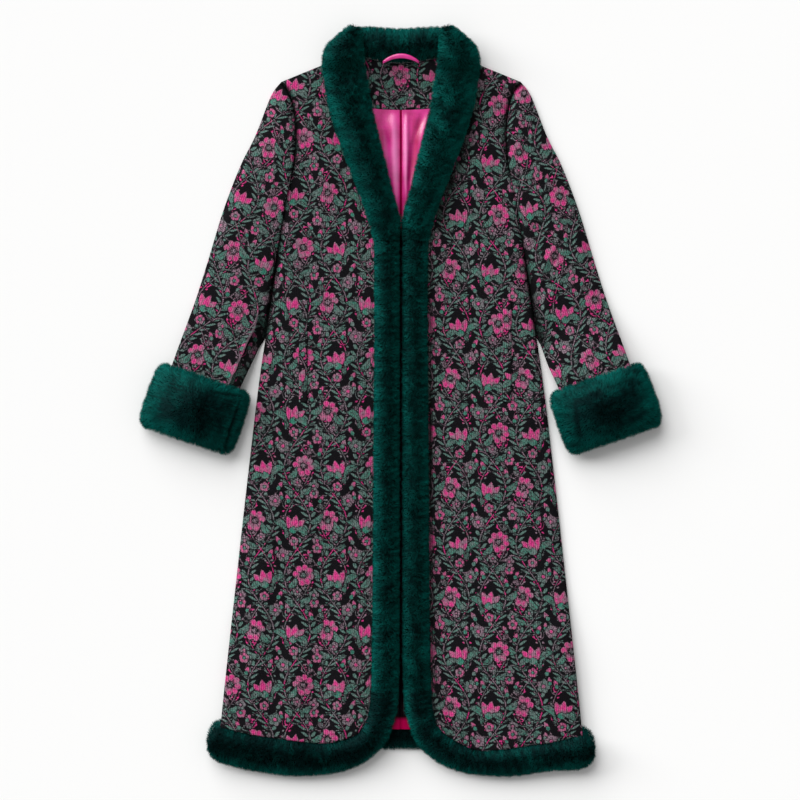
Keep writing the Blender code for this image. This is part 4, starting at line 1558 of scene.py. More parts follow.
@dataclass
class Satin:
    """Satin pieces: the back lining with its centre-back pleat, and the hanger loop."""

    form: CoatForm
    finish: Finish
    placer: Placer
    rows: int = 150
    columns: int = 151
    end_level: float = -577.0
    inset: float = 22.0
    thickness: float = 0.9
    even_spread: float = 0.35
    top_spread: float = 1.6
    top_lap: float = 3.0
    pleat_ridge: float = 1.6
    pleat_reach: float = 44.0
    pleat_depth: float = 3.0
    pleat_half: float = 1.7
    pleat_levels: Span = (516.0, 506.0)
    ridge_start: Span = (512.0, 470.0)
    ridge_end: Span = (300.0, 360.0)
    crease_start: Span = (508.0, 484.0)
    gap_levels: Span = (-520.0, -556.0)
    gap_edge: Span = (75.0, 45.0)
    hem_strip_shade: float = 0.5
    strip_top: float = -553.0
    strip_fade: float = 7.0
    strip_wave: float = 3.0
    strip_pitch: float = 7.0
    shade_levels: Span = (318.0, 292.0)
    shade_edge: Span = (90.0, 60.0)
    v_shade: float = 0.2
    v_levels: Span = (440.0, 300.0)
    pleat_shade: float = 0.92
    line_half: float = 1.4
    line_levels: Span = (516.0, 508.0)
    loop_rows: int = 9
    loop_columns: int = 60
    loop_crown: float = 0.7
    loop_sink: float = 0.6
    loop_arch: float = 0.6
    loop_lip: float = 0.9
    loop_half: float = 32.0
    loop_foot: float = 591.6
    loop_rise: float = 10.6
    loop_width_mid: float = 8.4
    loop_width_end: float = 5.0
    loop_lift_end: float = 14.6
    loop_lift_mid: float = 20.6
    creases: tuple[Crease, ...] = rows_of(
        Crease,
        (-15, 530, -9, 330, 9.0, 4.6), (-38, 505, -22, 405, 7.0, -2.6), (-50, 512, -38, 450, 5.0, 2.2),
        (10, 520, 9, 330, 5.0, 3.6), (42, 512, 25, 464, 5.0, -3.4), (25, 470, 13, 372, 5.0, -3.0),
        (48, 503, 33, 440, 5.0, 3.4), (-22, -470, -16, -577, 6, 0.9), (18, -480, 22, -577, 6, 0.9),
    )
    fold_gleam_and_shade: tuple[Crease, ...] = rows_of(
        Crease,
        (-13, 505, -7, 340, 6.0, -0.34), (-30, 470, -20, 380, 5.0, -0.12), (8, 505, 8, 350, 4.0, -0.3),
        (34, 500, 17, 385, 6.0, 0.34), (24, 505, 19, 450, 3.0, 0.16), (-46, 500, -28, 400, 6.0, 0.22),
        (-22, 500, -16, 440, 4.0, 0.12),
    )

    def lining_shade(self, x: Array, level: Array) -> Array:
        """Painted light on the lining: gleam and shade along its folds, shade on the pleat's line in the
        V, and deep shade in the hem's gap, halved on a strip by the hem.

        Args:
            x: Places across the lining.
            level: Their levels.

        Returns:
            The painted light at each place, from -0.5 for a painted gleam to 1 for the deepest painted
            shade.
        """
        below = ease(*self.shade_levels, level) * ease(*self.shade_edge, np.abs(x))
        wavy = level + self.strip_wave * np.cos(x / self.strip_pitch)
        strip = ease(self.strip_top, self.strip_top - self.strip_fade, wavy)
        fold = creased(self.fold_gleam_and_shade, x, level) + self.v_shade * ease(*self.v_levels, level)
        shade = np.where(below > 0, below * lerp(1.0, self.hem_strip_shade, strip), fold)
        line = np.exp(-((x / self.line_half) ** 2)) * ease(*self.line_levels, level) * (below == 0)
        return lerp(shade, self.pleat_shade, line)

    def build_lining(self) -> Piece:
        """Makes the lining: a sheet on the back, with soft ridges each side of the pleat in the V.

        Returns:
            The lining.
        """
        form = self.form
        place = np.linspace(-1, 1, self.columns)[None, :]
        spread = self.even_spread * place + (1 - self.even_spread) * place ** 3
        facing = form.facing_half * np.clip(self.top_spread * spread, -1, 1)
        top = form.facing_edge(facing) + self.top_lap
        level = lerp(top, self.end_level, np.linspace(0, 1, self.rows)[:, None])
        x = spread * (form.side_edge(level) - self.inset)
        half = self.pleat_reach / 2
        inside = np.clip(1 - ((np.abs(x) - half) / half) ** 2, 0.0, 1.0)
        shown = ease(*self.ridge_start, level) * ease(*self.ridge_end, level)
        pleat = -self.pleat_depth * ease(*self.pleat_levels, level)
        pleat = pleat * np.exp(-((x / self.pleat_half) ** 2))
        gap = form.hem_lift * ease(*self.gap_levels, level)
        rise = lerp(form.hem_rise(level), gap, ease(*self.gap_edge, np.abs(x)))
        height = form.lining_floor + self.thickness + rise + self.pleat_ridge * inside * shown + pleat
        height = height + creased(self.creases, x, level) * ease(*self.crease_start, level)
        points = np.stack([x, level, height], -1)
        piece = grid_object("back_lining_cloth", points, points[..., :2])
        # Painted gleam and shade of the lining, for its finish to read.
        put_share(piece, "shade", self.lining_shade(x, level))
        return self.placer.place(piece, self.finish, "satin", "back_lining")

    def build_loop(self) -> Piece:
        """Makes the hanger loop: a ribbon on an arch, rounded across, and turned down at its edges.

        Returns:
            The loop.
        """
        place = np.linspace(-1, 1, self.loop_columns)[None, :]
        across = np.linspace(0.5, -0.5, self.loop_rows)[:, None]
        arch = 1 - place * place
        width = lerp(self.loop_width_end, self.loop_width_mid, arch)
        level = self.loop_foot + self.loop_rise * arch + width * across
        crown = self.loop_crown * (1 - (2 * across) ** 2) - self.loop_sink
        height = lerp(self.loop_lift_end, self.loop_lift_mid, arch ** self.loop_arch) + crown
        x = np.broadcast_to(self.loop_half * place, level.shape)
        points = np.stack([x, level, height + 0 * level], -1)
        cloth = padded(points[..., [1, 0]])
        piece = grid_object("hanger_loop_ribbon", skirted(points, self.loop_lip), cloth)
        return self.placer.place(piece, self.finish, "satin", "hanger_loop")

    def build(self) -> None:
        """Makes the satin pieces."""
        self.build_lining()
        self.build_loop()


class Edges(NamedTuple):
    """Two edges of a trim, with its underside at each and the height of its pile."""

    x: Array
    y: Array
    under: Array
    end_x: Array
    end_y: Array
    end_under: Array
    pile: Array


def unit(vectors: Array) -> Array:
    """Vectors of length 1 along those given."""
    return vectors / np.maximum(np.linalg.norm(vectors, axis=-1, keepdims=True), 1e-9)


@dataclass(kw_only=True)
class FurTrim:
    """One plush trim: a base on its solid's form, and the pile that stands on it.

    Its surface takes shares across the pile and along the trim, from 0 to 1.
    """

    node: str
    strands: int
    cut: Span
    cut_area: float
    seed: int
    length: float = 9.0
    width: float = 0.75
    lift: float = 0.85
    tone: float = 0.3
    rim_glow: float = 0.16
    shade_up: float = 0.0
    base_rows: int = 44
    base_columns: int = 22
    ring: bool = False
    partings: tuple[Crease, ...] = ()
    net: int = 120
    comb_lean: float = 0.6
    sway_lean: float = 0.16
    sway_size: float = 46.0
    tuft_lean: float = 0.14
    tuft_size: float = 12.0
    tuft_length: float = 0.1
    stray: float = 0.12
    length_span: Span = (0.8, 1.12)
    width_span: Span = (0.8, 1.3)
    blade_turn: float = 0.6
    lowest: float = 0.4
    blotch_sizes: Span = (60.0, 24.0)
    blotch_tones: Span = (0.16, 0.14)
    tuft_tone: float = 0.08
    streak_size: float = 8.0
    streak_run: float = 12.0
    streak_tone: float = 0.18
    speckle: float = 0.1
    tone_span: Span = (0.02, 0.98)
    parted_short: float = 0.65
    parted_tone: float = 0.4
    parted_tip: float = 0.85
    root_place: float = 0.04
    tip_place: float = 0.96
    shade_lean: float = 0.4
    height_share: float = 0.7

    def surface(self, u: Array, v: Array) -> Array:
        """Places on the base."""
        raise NotImplementedError

    def comb(self, u: Array, v: Array) -> Array:
        """Way that the pile is brushed."""
        raise NotImplementedError

    def rim(self, u: Array, v: Array) -> Array:
        """How near a place is to the trim's edges, from 0 in its middle to 1."""
        raise NotImplementedError

    def share_shown(self, u: Array, v: Array) -> Array:
        """How thickly the pile is set, where it is set unevenly."""
        return np.ones_like(u)

    def tip_shade(self, u: Array, v: Array) -> Array:
        """How far towards the palette's tip colour the strands reach."""
        return np.full_like(u, self.tip_place)

    def frame_at(self, u: Array, v: Array) -> tuple[Array, Array, Array]:
        """Places on the base, the way out of it, and the area that a unit of the shares covers.

        Args:
            u: Shares across the trim.
            v: Shares along it.

        Returns:
            The places, unit directions and areas.
        """
        step = 1e-3
        here = self.surface(u, v)
        low_u, high_u = np.clip(u - step, 0, 1), np.clip(u + step, 0, 1)
        low_v, high_v = np.clip(v - step, 0, 1), np.clip(v + step, 0, 1)
        along_u = (self.surface(high_u, v) - self.surface(low_u, v)) / (high_u - low_u)[:, None]
        along_v = (self.surface(u, high_v) - self.surface(u, low_v)) / (high_v - low_v)[:, None]
        out = np.cross(along_u, along_v)
        return here, unit(out), np.linalg.norm(out, axis=-1)

    def roots(self, dice: np.random.Generator) -> tuple[Array, Array]:
        """Shares of the roots: cells of a net are drawn by area, and each root falls in its cell.

        Args:
            dice: What the draws come from.

        Returns:
            The shares across and along.
        """
        middle = (np.arange(self.net) + 0.5) / self.net
        u, v = (part.ravel() for part in np.meshgrid(middle, middle))
        area = self.frame_at(u, v)[2] * self.share_shown(u, v)
        heap = np.cumsum(area)
        picked = np.searchsorted(heap, dice.random(self.strands) * heap[-1])
        shift = dice.uniform(-0.5, 0.5, (2, self.strands)) / self.net
        return u[picked] + shift[0], v[picked] + shift[1]

    def swept(self, root: Array, length: float, seed: int) -> Array:
        """Smooth uneven leans across and along, alike for neighbours."""
        x, y = root[:, 0], root[:, 1] + self.height_share * root[:, 2]
        return np.stack([ripple(x, y, length, seed), ripple(x, y, length, seed + 1), 0 * x], -1)

    def build_pile(self) -> Piece:
        """Makes the pile: each strand is one narrow blade that leans along the comb.

        Neighbours lean alike by two smooth fields, long and short, so that the pile has soft clumps. A
        blade is shaded mostly as the base is. Its place in the palette runs from root to tip, and
        from dull to bright strands.

        Returns:
            The pile.
        """
        dice = np.random.default_rng(self.seed)
        u, v = self.roots(dice)
        root, out, _ = self.frame_at(u, v)
        count = len(u)
        sway = self.swept(root, self.sway_size, self.seed + 1)
        tuft = self.swept(root, self.tuft_size, self.seed + 3)
        parted = np.clip(-creased(self.partings, root[:, 0], root[:, 1]), 0.0, 1.0)
        lean = self.comb_lean * self.comb(u, v) + self.sway_lean * sway + self.tuft_lean * tuft
        lean = lean + dice.normal(0, self.stray, (count, 3))
        way = unit(self.lift * out + lean)
        length = self.length * dice.uniform(*self.length_span, count)
        length = length * (1 + self.tuft_length * tuft[:, 0]) * (1 - self.parted_short * parted)
        tip = root + way * length[:, None]
        side = unit(np.cross(way, out + dice.normal(0, self.blade_turn, (count, 3))))
        half = (0.5 * self.width * dice.uniform(*self.width_span, count))[:, None] * side
        places = np.stack([root - half, root + half, tip], 1)
        places[..., 2] = np.maximum(places[..., 2], self.lowest)
        corners, sizes = np.arange(3 * count), np.full(count, 3)
        piece = mesh_object(f"{self.node}_pile", places.reshape(-1, 3), corners, sizes)
        wide = self.swept(root, self.blotch_sizes[0], self.seed + 5)
        small = self.swept(root, self.blotch_sizes[1], self.seed + 7)
        blotch = self.blotch_tones[0] * wide + self.blotch_tones[1] * small + self.tuft_tone * tuft
        streak = ripple(self.cut[1] / MM * v, self.streak_run * u, self.streak_size, self.seed + 9)
        # Painted light in the strands' tone: rim_glow paints a highlight at the trim's edges, and
        # painted shade where an edge's glow is below 0.
        tone = self.tone + self.rim_glow * self.rim(u, v) + blotch[:, 0] + self.streak_tone * streak
        tone = tone + dice.normal(0, self.speckle, count) - self.parted_tone * parted
        tone = np.repeat(np.clip(tone, *self.tone_span), 3) + np.tile([-0.01, 0.01, 0.0], count)
        reach = np.tile([self.root_place, self.root_place, 0.0], count)
        reach[2::3] = self.tip_shade(u, v) * (1 - self.parted_tip * parted)
        put_uv(piece, "OFBake", np.stack([reach, tone], -1))
        shading = unit(out + self.shade_lean * lean + np.array([0.0, 0.0, self.shade_up]))
        piece.data.normals_split_custom_set_from_vertices(np.repeat(shading, 3, axis=0).tolist())
        return piece

    def build_base(self) -> Piece:
        """Makes the base under the pile: the trim's form, closed all round, in root colours.

        Returns:
            The base.
        """
        rows, columns = np.linspace(0, 1, self.base_rows), np.linspace(0, 1, self.base_columns)
        v, u = np.meshgrid(rows, columns, indexing="ij")
        points = self.surface(u.ravel(), v.ravel()).reshape(self.base_rows, self.base_columns, 3)
        if self.ring:
            points = np.concatenate([points, points[:1]], axis=0)
        else:
            ends = np.repeat(points[[0, -1]].mean(axis=1, keepdims=True), self.base_columns, axis=1)
            points = np.concatenate([ends[:1], points, ends[1:]], axis=0)
        piece = grid_object(f"{self.node}_base", points, ring=not self.ring)
        shell = bmesh.new()
        shell.from_mesh(piece.data)
        bmesh.ops.remove_doubles(shell, verts=shell.verts, dist=1e-6)
        bmesh.ops.dissolve_degenerate(shell, edges=shell.edges, dist=1e-6)
        bmesh.ops.recalc_face_normals(shell, faces=shell.faces)
        shell.to_mesh(piece.data)
        shell.free()
        piece.data.shade_smooth()
        loops = np.arange(len(piece.data.loops))
        put_uv(piece, "OFBake", np.stack([0.02 + 0.06 * (loops % 2), 0.3 + 0.05 * (loops % 3)], -1))
        return piece

    def build(self, finish: Finish, placer: Placer) -> None:
        """Makes the base and the pile, and dresses them.

        Args:
            finish: Finish of both.
            placer: What sets them on the coat.
        """
        base, pile = self.build_base(), self.build_pile()
        placer.place(base, finish, "fur", self.node)
        placer.place(pile, finish, "fur")


@dataclass(kw_only=True)
class StripTrim(FurTrim):
    """A trim between two edges, crowned between them."""

    edges: Callable[[Array], Edges]
    turned: bool = False
    drift: float = 0.0
    crown: float = 0.6
    inset: float = 5.5
    inner_inset: float = 5.5
    sink: float = 6.5
    inset_limit: float = 0.4
    low_crown: float = 0.4
    base_lift: float = 0.5
    inner_lean: float = 1.0
    inner_glow: float = 1.0
    outer_glow: float = 1.0
    end_glow: float = 0.0
    rim_span: Span = (0.3, 1.0)
    end_span: Span = (0.94, 1.0)

    def across(self, u: Array) -> Array:
        """Share from the first edge to the second, run back on a turned trim so that it faces out."""
        return 1 - u if self.turned else u

    def surface(self, u: Array, v: Array) -> Array:
        """Places on the base: a sine crown between the edges, inset by the pile that stands on it.

        Args:
            u: Shares across the strip.
            v: Shares along it.

        Returns:
            The places.
        """
        ends, u = self.edges(v), self.across(u)
        width = np.maximum(np.hypot(ends.end_x - ends.x, ends.end_y - ends.y), 1e-6)
        insets = (self.inner_inset, self.inset)
        first, last = (np.minimum(inset / width, self.inset_limit) for inset in insets)
        share = lerp(first, 1 - last, 0.5 - 0.5 * np.cos(np.pi * u))
        tall = np.maximum(ends.pile - self.sink, self.low_crown * ends.pile)
        tall = tall * np.maximum(np.sin(np.pi * u), 0.0) ** self.crown
        height = lerp(ends.under, ends.end_under, share) + self.base_lift + tall
        return np.stack([lerp(ends.x, ends.end_x, share), lerp(ends.y, ends.end_y, share), height], -1)

    def comb(self, u: Array, v: Array) -> Array:
        """Way of the pile: out towards the nearer edge, and some way along the strip.

        Args:
            u: Shares across the strip.
            v: Shares along it.

        Returns:
            The directions.
        """
        ends = self.edges(v)
        across = unit(np.stack([ends.end_x - ends.x, ends.end_y - ends.y, 0 * v], -1))
        along = np.stack([across[:, 1], -across[:, 0], 0 * v], -1)
        out = 2 * self.across(u) - 1
        return across * np.where(out < 0, self.inner_lean * out, out)[:, None] + along * self.drift

    def rim(self, u: Array, v: Array) -> Array:
        """Nearness to the two edges."""
        near = ease(*self.rim_span, np.abs(np.cos(np.pi * u)))
        # Each edge's glow weights its painted highlight, or its painted shade when below 0.
        sides = near * np.where(self.across(u) < 0.5, self.inner_glow, self.outer_glow)
        return np.maximum(sides, self.end_glow * ease(*self.end_span, v))


@dataclass(kw_only=True)
class BackHemTrim(StripTrim):
    """The back hem, with pile set thickly where it shows: below, between and beside the front hems."""

    end_start: float = 0.46
    middle_half: float = 0.1
    edge_share: float = 0.3
    edge_fade: Span = (0.4, 0.12)
    thin: float = 0.3
    middle_thick: float = 4.0
    edge_thick: float = 1.5
    end_thick: float = 6.0
    hidden_tip: float = 0.1

    def share_shown(self, u: Array, v: Array) -> Array:
        """Thick at the free edge, in the middle and at the ends, thin under the front hems."""
        aside, edge = np.abs(v - 0.5), self.across(u) < self.edge_share
        thick = self.thin + self.middle_thick * (aside < self.middle_half) + self.edge_thick * edge
        return thick + self.end_thick * (aside > self.end_start)

    def tip_shade(self, u: Array, v: Array) -> Array:
        """Painted shade: tips as dark as roots, but for the free edge and the ends."""
        bright = np.maximum(ease(*self.edge_fade, self.across(u)), np.abs(v - 0.5) > self.end_start)
        return lerp(self.hidden_tip, super().tip_shade(u, v), bright)


@dataclass(kw_only=True)
class CuffTrim(FurTrim):
    """A turned-back cuff: the pile's crown carried round the flattened end of a sleeve."""

    side: Side
    centre: Span
    axis: Span = (0.324, -0.946)
    cuff_length: float = 118.0
    half: float
    low: float = 12.0
    high: float = 23.2
    side_pile: float = 18.0
    top_pile: float = 14.5
    top_crown: float = 3.5
    under_pile: float = 13.0
    crown: float = 4.0
    inset: float = 2.5
    end_inset: float = 6.5
    sink: float = 6.5
    under_sink: float = 1.5
    bend_share: float = 0.7
    base_lowest: float = 0.6
    comb_reach: float = 45.0
    end_span: Span = (0.35, 1.0)
    fold_span: Span = (0.55, 1.25)
    fold_rise: float = 0.35
    under_turn: float = -0.9
    under_thin: float = 0.35

    def ring_at(self, u: Array) -> tuple[Array, Array, Array]:
        """Way round the flattened ring, mirrored on the right side.

        Args:
            u: Shares of the way round.

        Returns:
            The place across its middle line, and the parts of the way out across and up.
        """
        radius = (self.high - self.low) / 2
        flat = self.half - radius
        bend = np.pi * (radius + self.side_pile * self.bend_share)
        way = (u if self.side is Side.LEFT else 1 - u) * (4 * flat + 2 * bend)
        stretch = [way < 2 * flat, way < 2 * flat + bend, way < 4 * flat + bend]
        turn_in, turn_out = np.pi * (way - 2 * flat) / bend, np.pi * (way - 4 * flat - bend) / bend
        place = np.select(stretch, [flat - way, 0 * way - flat, way - 3 * flat - bend], flat)
        out = np.select(stretch, [0 * way, -np.sin(turn_in), 0 * way], np.sin(turn_out))
        up = np.select(stretch, [0 * way + 1, np.cos(turn_in), 0 * way - 1], -np.cos(turn_out))
        return place, out, up

    def surface(self, u: Array, v: Array) -> Array:
        """Places on the base: the ring, swelled by a crown along the cuff that is inset by the pile.

        Args:
            u: Shares of the way round.
            v: Shares along the cuff.

        Returns:
            The places.
        """
        radius = (self.high - self.low) / 2
        place, out, up = self.ring_at(u)
        down = 0.5 - 0.5 * np.cos(np.pi * v)
        pile = np.clip(1 - np.abs(2 * down - 1) ** self.crown, 0, 1) ** (1 / self.crown)
        middle = 1 - (place / (self.half - radius)) ** 2
        top = self.top_pile + self.top_crown * middle - self.sink
        upright = np.where(up < 0, self.under_pile - self.under_sink, top)
        sideways = place + out * (radius + pile * (self.side_pile - self.inset))
        height = self.low + radius + up * (radius + pile * upright)
        reach = (down - 0.5) * (self.cuff_length - 2 * self.end_inset)
        x = self.centre[0] + reach * self.axis[0] - sideways * self.axis[1]
        y = self.centre[1] + reach * self.axis[1] + sideways * self.axis[0]
        return np.stack([self.side.value * x, y, np.maximum(height, self.base_lowest)], -1)

    def comb(self, u: Array, v: Array) -> Array:
        """Way of the pile: out from the cuff's middle towards its edges.

        Args:
            u: Shares of the way round.
            v: Shares along the cuff.

        Returns:
            The directions.
        """
        here = self.surface(u, v)
        away = here - np.array([self.side.value * self.centre[0], self.centre[1], 0.0])
        away[:, 2] = 0
        return away / np.maximum(np.linalg.norm(away, axis=-1, keepdims=True), self.comb_reach)

    def rim(self, u: Array, v: Array) -> Array:
        """Nearness to the cuff's ends and folds.

        Args:
            u: Shares of the way round.
            v: Shares along the cuff.

        Returns:
            The nearness.
        """
        place, out, _ = self.ring_at(u)
        ends = ease(*self.end_span, np.abs(np.cos(np.pi * v)))
        folds = ease(*self.fold_span, np.abs(place) / self.half + self.fold_rise * np.abs(out))
        return np.maximum(ends, folds)

    def share_shown(self, u: Array, v: Array) -> Array:
        """Thinner on the underside, which lies on the floor."""
        return np.where(self.ring_at(u)[2] < self.under_turn, self.under_thin, 1.0)


@dataclass
class Plush:
    """All plush trims: collar, stand, front bands, hems and cuffs."""

    form: CoatForm
    finish: Finish
    placer: Placer
    stand_half: float = 124.0
    stand_top: float = 654.0
    stand_shoulder: float = 62.0
    stand_drop: float = 40.0
    stand_pile: float = 20.0
    stand_dip: float = 3.5
    stand_curve: float = 1.4
    stand_end: float = 22.0
    stand_thin: float = 0.75
    stand_lap: float = 2.5
    collar_rest: float = 0.5
    collar_turn: Span = (572.0, 600.0)
    front_inset: float = 20.0
    top_inset: float = 6.0
    back_hem_half: float = 337.0
    back_hem_depth: float = 68.0
    back_hem_pile: float = 12.0
    end_share: float = 0.2
    side_dip: float = 12.0
    side_dip_start: float = 255.0
    side_dip_end: float = 330.0
    collar_partings: tuple[Crease, ...] = rows_of(Crease, (0, 312, 0, 246, 6.8, -1.4))
    cuff_half: dict[Side, float] = by_side(67.5, 66.0)
    cuff_centre: dict[Side, Span] = by_side((359.0, -15.4), (361.0, -15.75))
    cuff_partings: dict[Side, tuple[Crease, ...]] = by_side(
        rows_of(
            Crease,
            (306, 0, 316, -70, 4.0, -0.7), (346, 20, 340, -2, 4.0, -0.5),
        ),
        rows_of(
            Crease,
            (-284, 4, -312, -88, 2.6, -1.1), (-268, -12, -293, -90, 2.6, -1.1),
            (-334, 12, -280, 5, 2.4, -0.9), (-322, -30, -316, -46, 3.0, -0.5),
        ),
    )
    collar: tuple[FurRow, ...] = rows_of(
        FurRow,
        (658, 72, 76, 3), (655, 70, 84, 10), (646, 69, 97, 17), (632, 67.5, 114, 21),
        (613, 66, 132, 22), (592, 64, 137, 22), (560, 59, 133, 22), (514, 51.5, 125, 22),
        (465, 40, 110, 22), (406, 25, 88, 22), (364, 15, 72, 21.5), (330, 5, 60, 21),
        (311, 0.8, 53.5, 20.5), (280.3, 0.8, 46, 20),
    )
    band: tuple[FurRow, ...] = rows_of(
        FurRow,
        (280, 0.8, 46, 20), (122, 0.8, 45.5, 20), (-33, 0.8, 46.5, 20), (-350, 0.9, 48.5, 20),
        (-470, 1.4, 50, 20), (-506.7, 2.8, 51, 20),
    )
    hem: tuple[HemRow, ...] = rows_of(
        HemRow,
        (0, 5.8, -507, 51, -507, 14.8, 20), (1, 8, -538, 53, -540, 15.0, 20),
        (2, 15, -567, 57, -557, 15.0, 20), (3, 24, -592, 63, -572, 14.6, 20),
        (4, 40, -613, 72.5, -584.5, 11, 20), (5, 62, -632, 87.5, -593.5, 8.5, 20),
        (6, 93, -646.5, 108, -599.5, 7, 20), (7, 131, -655, 138, -603, 6, 20),
        (8, 184, -658, 186, -598, 6, 20), (9, 245, -651, 245, -590.5, 8, 20),
        (10, 300, -639, 297, -580, 11.5, 20), (11, 320, -632, 319, -575.5, 13, 19),
        (12, 331, -622, 331, -583, 13.5, 16), (13, 337.5, -607, 337.5, -598, 13.9, 9),
    )

    def collar_floor(self, x: Array, level: Array) -> Array:
        """Height of the turned collar's underside: on the front, then over the stand at the neck."""
        x = np.minimum(x, self.form.side_edge(level) - self.front_inset)
        floor = lerp(self.form.front_top(x, level), self.stand_pile, ease(*self.collar_turn, level))
        return floor + self.collar_rest

    def collar_edges(self, side: Side, v: Array) -> Edges:
        """Edges of a turned collar half along it, from its top to the end of the V.

        Args:
            side: Side of the coat.
            v: Shares along it.

        Returns:
            The edges.
        """
        level = lerp(self.collar[0].level - self.top_inset, self.collar[-1].level, v)
        inner, outer = through(self.collar, "inner", level), through(self.collar, "outer", level)
        floors = self.collar_floor(inner, level), self.collar_floor(outer, level)
        pile = through(self.collar, "pile", level)
        return Edges(side.value * inner, level, floors[0], side.value * outer, level, floors[1], pile)

    def band_edges(self, side: Side, v: Array) -> Edges:
        """Edges of a front band along it.

        Args:
            side: Side of the coat.
            v: Shares along it.

        Returns:
            The edges.
        """
        level = lerp(self.band[0].level, self.band[-1].level, v)
        under = self.form.front_floor + self.form.hem_rise(level)
        inner, outer = through(self.band, "inner", level), through(self.band, "outer", level)
        pile = through(self.band, "pile", level)
        return Edges(side.value * inner, level, under, side.value * outer, level, under, pile)

    def end_dip(self, x: Array) -> Array:
        """How much lower the hem lies at the left side."""
        return self.side_dip * ease(self.side_dip_start, self.side_dip_end, x)

    def hem_edges(self, side: Side, v: Array) -> Edges:
        """Edges of a front's hem along it, from the band to the side.

        Args:
            side: Side of the coat.
            v: Shares along it.

        Returns:
            The edges.
        """
        station = v * self.hem[-1].station
        read = {name: through(self.hem, name, station) for name in HemRow._fields[1:]}
        free_x, cloth_x = side.value * read["free_x"], side.value * read["cloth_x"]
        free_y = read["free_y"] - self.end_dip(free_x)
        cloth_y = read["cloth_y"] - self.form.hem_dip(side, read["cloth_x"])
        under = self.form.front_floor + self.form.hem_rise(cloth_y)
        return Edges(free_x, free_y, read["free_under"], cloth_x, cloth_y, under, read["pile"])

    def stand_edges(self, v: Array) -> Edges:
        """Edges of the stand from one end to the other: the neckline, and the collar's top.

        Args:
            v: Shares along it.

        Returns:
            The edges.
        """
        x = self.stand_half * (2 * v - 1)
        aside = np.abs(x)
        drop = self.stand_drop * ease(self.stand_shoulder, self.stand_half, aside) ** self.stand_curve
        thin = self.stand_thin * ease(self.stand_half - self.stand_end, self.stand_half, aside)
        top = self.stand_top - drop - self.stand_dip * ease(self.stand_shoulder, 0.0, aside)
        neck = self.form.neck_edge(x) + self.stand_lap
        return Edges(x, neck, 0 * x, x, top, 0 * x, self.stand_pile * (1 - thin))

    def back_hem_edges(self, v: Array) -> Edges:
        """Edges of the back hem from one side to the other.

        Args:
            v: Shares along it.

        Returns:
            The edges.
        """
        x = self.back_hem_half * (2 * v - 1)
        seam = self.form.side_seam_half
        past = np.maximum(np.abs(x) - seam, 0.0) / (self.back_hem_half - seam)
        end = self.end_share + (1 - self.end_share) * np.sqrt(np.clip(1 - past * past, 0.0, 1.0))
        middle = self.form.back_hem_edge(x) - self.back_hem_depth / 2 - self.end_dip(x)
        reach = self.back_hem_depth / 2 * end
        return Edges(x, middle - reach, 0 * x, x, middle + reach, 0 * x, self.back_hem_pile * end)

    def trims(self) -> list[FurTrim]:
        """Lists every trim, with its pile and the cut of its cloth.

        Returns:
            The trims.
        """
        found: list[FurTrim] = []
        for side in Side:
            turned = side is Side.LEFT
            found += [
                # Painted light: the left collar's tone is raised, and the collars' and bands' inner
                # edges get a painted highlight, or painted shade on the left band, set side by side
                # against the key light.
                StripTrim(
                    node=f"collar_{side.label}", edges=partial(self.collar_edges, side), turned=turned,
                    drift=0.2 * side.value, strands=72000, length=9.5, cut=(0.085, 0.4), cut_area=0.03,
                    inner_lean=0.4, inner_glow=1.3 - 0.7 * side.value, inner_inset=7.0,
                    tone=0.44 + 0.08 * side.value, partings=self.collar_partings, seed=10 + side.value,
                ),
                StripTrim(
                    node=f"front_band_{side.label}", edges=partial(self.band_edges, side), turned=turned,
                    drift=0.2 * side.value, strands=78000, length=8.5, cut=(0.056, 0.8), cut_area=0.0435,
                    inner_lean=0.2, inner_glow=0.5 - 1.5 * side.value, inner_inset=8.5, tone=0.41,
                    shade_up=0.6, base_rows=60, seed=20 + side.value,
                ),
                # The hem's free edge and ends get a painted highlight, and its edge by the cloth a
                # painted shade.
                StripTrim(
                    node=f"hem_band_{side.label}", edges=partial(self.hem_edges, side), turned=turned,
                    drift=-0.2 * side.value, strands=50000, length=9.0, cut=(0.075, 0.46),
                    cut_area=0.0245 - 0.002 * side.value, tone=0.07 + 0.03 * side.value, inner_glow=3.6,
                    outer_glow=-1.6, end_glow=3.6, shade_up=0.8, base_rows=60,
                    seed=30 + side.value,
                ),
                CuffTrim(
                    node=f"cuff_{side.label}", side=side, half=self.cuff_half[side],
                    centre=self.cuff_centre[side], strands=56000, length=9.5, tone=0.0, rim_glow=0.6,
                    partings=self.cuff_partings[side], cut=(0.14, 0.36), cut_area=0.045, base_rows=24,
                    base_columns=60, ring=True, seed=40 + side.value,
                ),
            ]
        found += [
            StripTrim(
                node="collar_stand", edges=self.stand_edges, turned=True, strands=26000, length=9.0,
                cut=(0.09, 0.26), cut_area=0.0125, seed=50,
            ),
            BackHemTrim(
                node="hem_band_back", edges=self.back_hem_edges, turned=True, strands=26000, length=7.0,
                cut=(0.09, 0.7), cut_area=0.05, base_rows=60, seed=60,
            ),
        ]
        return found

    def build(self) -> None:
        """Makes every trim."""
        for trim in self.trims():
            trim.build(self.finish, self.placer)


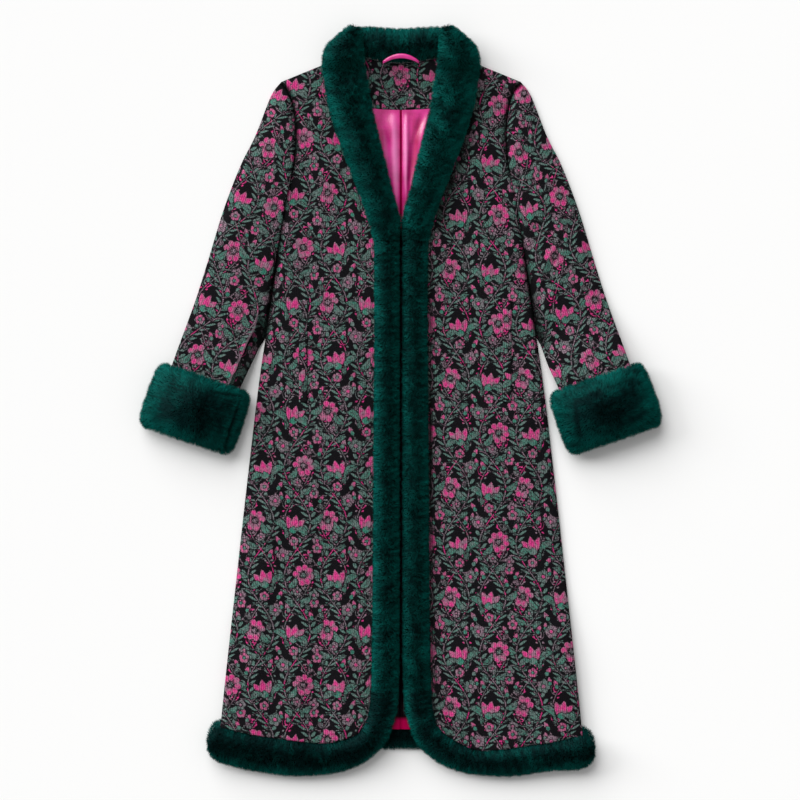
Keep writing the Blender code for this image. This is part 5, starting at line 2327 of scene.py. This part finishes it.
@dataclass
class Studio:
    """Pale floor, soft light from the upper left, and a camera that looks straight down."""

    floor_half: float = 4.0
    floor_drop: float = 0.2
    camera_lift: float = 0.02
    frame_width: float = 1.4
    view_x: float = -0.0018
    lens: float = 120.0
    sensor: float = 36.0
    key_from: tuple[float, float, float] = (-0.4, 0.75, 0.62)
    key_spread: float = 56.0
    key_power: float = 2.8
    side_from: tuple[float, float, float] = (-0.88, 0.34, 0.36)
    side_spread: float = 26.0
    side_power: float = 1.5
    sky: float = 0.36

    def build_floor(self, finish: Finish) -> None:
        """Makes the floor just under the coat.

        Args:
            finish: Finish of the floor.
        """
        half = self.floor_half / MM
        across, up = np.meshgrid([-half, half], [half, -half])
        floor = grid_object("floor", np.stack([across, up, 0 * up - self.floor_drop], -1))
        floor.data.materials.append(finish)

    def build_lamp(
        self, name: str, place: tuple[float, float, float], spread: float, power: float
    ) -> None:
        """Makes a wide, distant lamp, aimed at the coat.

        Args:
            name: Name of the lamp.
            place: Direction that it shines from.
            spread: Angle that it fills, in degrees.
            power: Strength.
        """
        lamp = bpy.data.lights.new(name, "SUN")
        lamp.angle = math.radians(spread)
        lamp.energy = power
        lit = bpy.data.objects.new(name, lamp)
        lit.location = place
        lit.rotation_euler = (-lit.location).to_track_quat("-Z", "Y").to_euler()
        bpy.context.scene.collection.objects.link(lit)

    def build_light(self) -> None:
        """Makes the key light, a faint low one from the left, and an even sky."""
        self.build_lamp("key", self.key_from, self.key_spread, self.key_power)
        self.build_lamp("side", self.side_from, self.side_spread, self.side_power)
        world = bpy.data.worlds.new("sky")
        world.use_nodes = True
        backdrop = world.node_tree.nodes["Background"]
        backdrop.inputs["Color"].default_value = (1.0, 1.0, 1.0, 1.0)
        backdrop.inputs["Strength"].default_value = self.sky
        bpy.context.scene.world = world

    def build_camera(self) -> None:
        """Makes the camera, over the middle of the photo's frame."""
        lens = bpy.data.cameras.new("camera")
        lens.lens = self.lens
        lens.sensor_width = self.sensor
        camera = bpy.data.objects.new("camera", lens)
        away = self.frame_width * self.lens / self.sensor + self.camera_lift
        camera.location = (self.view_x, 0.0, away)
        bpy.context.scene.collection.objects.link(camera)
        bpy.context.scene.camera = camera

    def build(self) -> None:
        """Makes the floor, lights and camera."""
        self.build_floor(PaperFinish().material())
        self.build_light()
        self.build_camera()
        bpy.context.scene.view_settings.view_transform = "Standard"


def main() -> None:
    """Builds the studio and every piece of the coat."""
    logging.basicConfig(level=logging.INFO, format="%(message)s")
    Studio().build()
    form, placer = CoatForm(), Placer()
    repeat = FloralRepeat()
    jacquard = Jacquard(form, repeat, JacquardFinish(repeat).material(), placer)
    jacquard.build()
    Sleeves(form, jacquard).build()
    Satin(form, SatinFinish().material(), placer).build()
    Plush(form, PlushFinish().material(), placer).build()


if __name__ == "__main__":
    main()
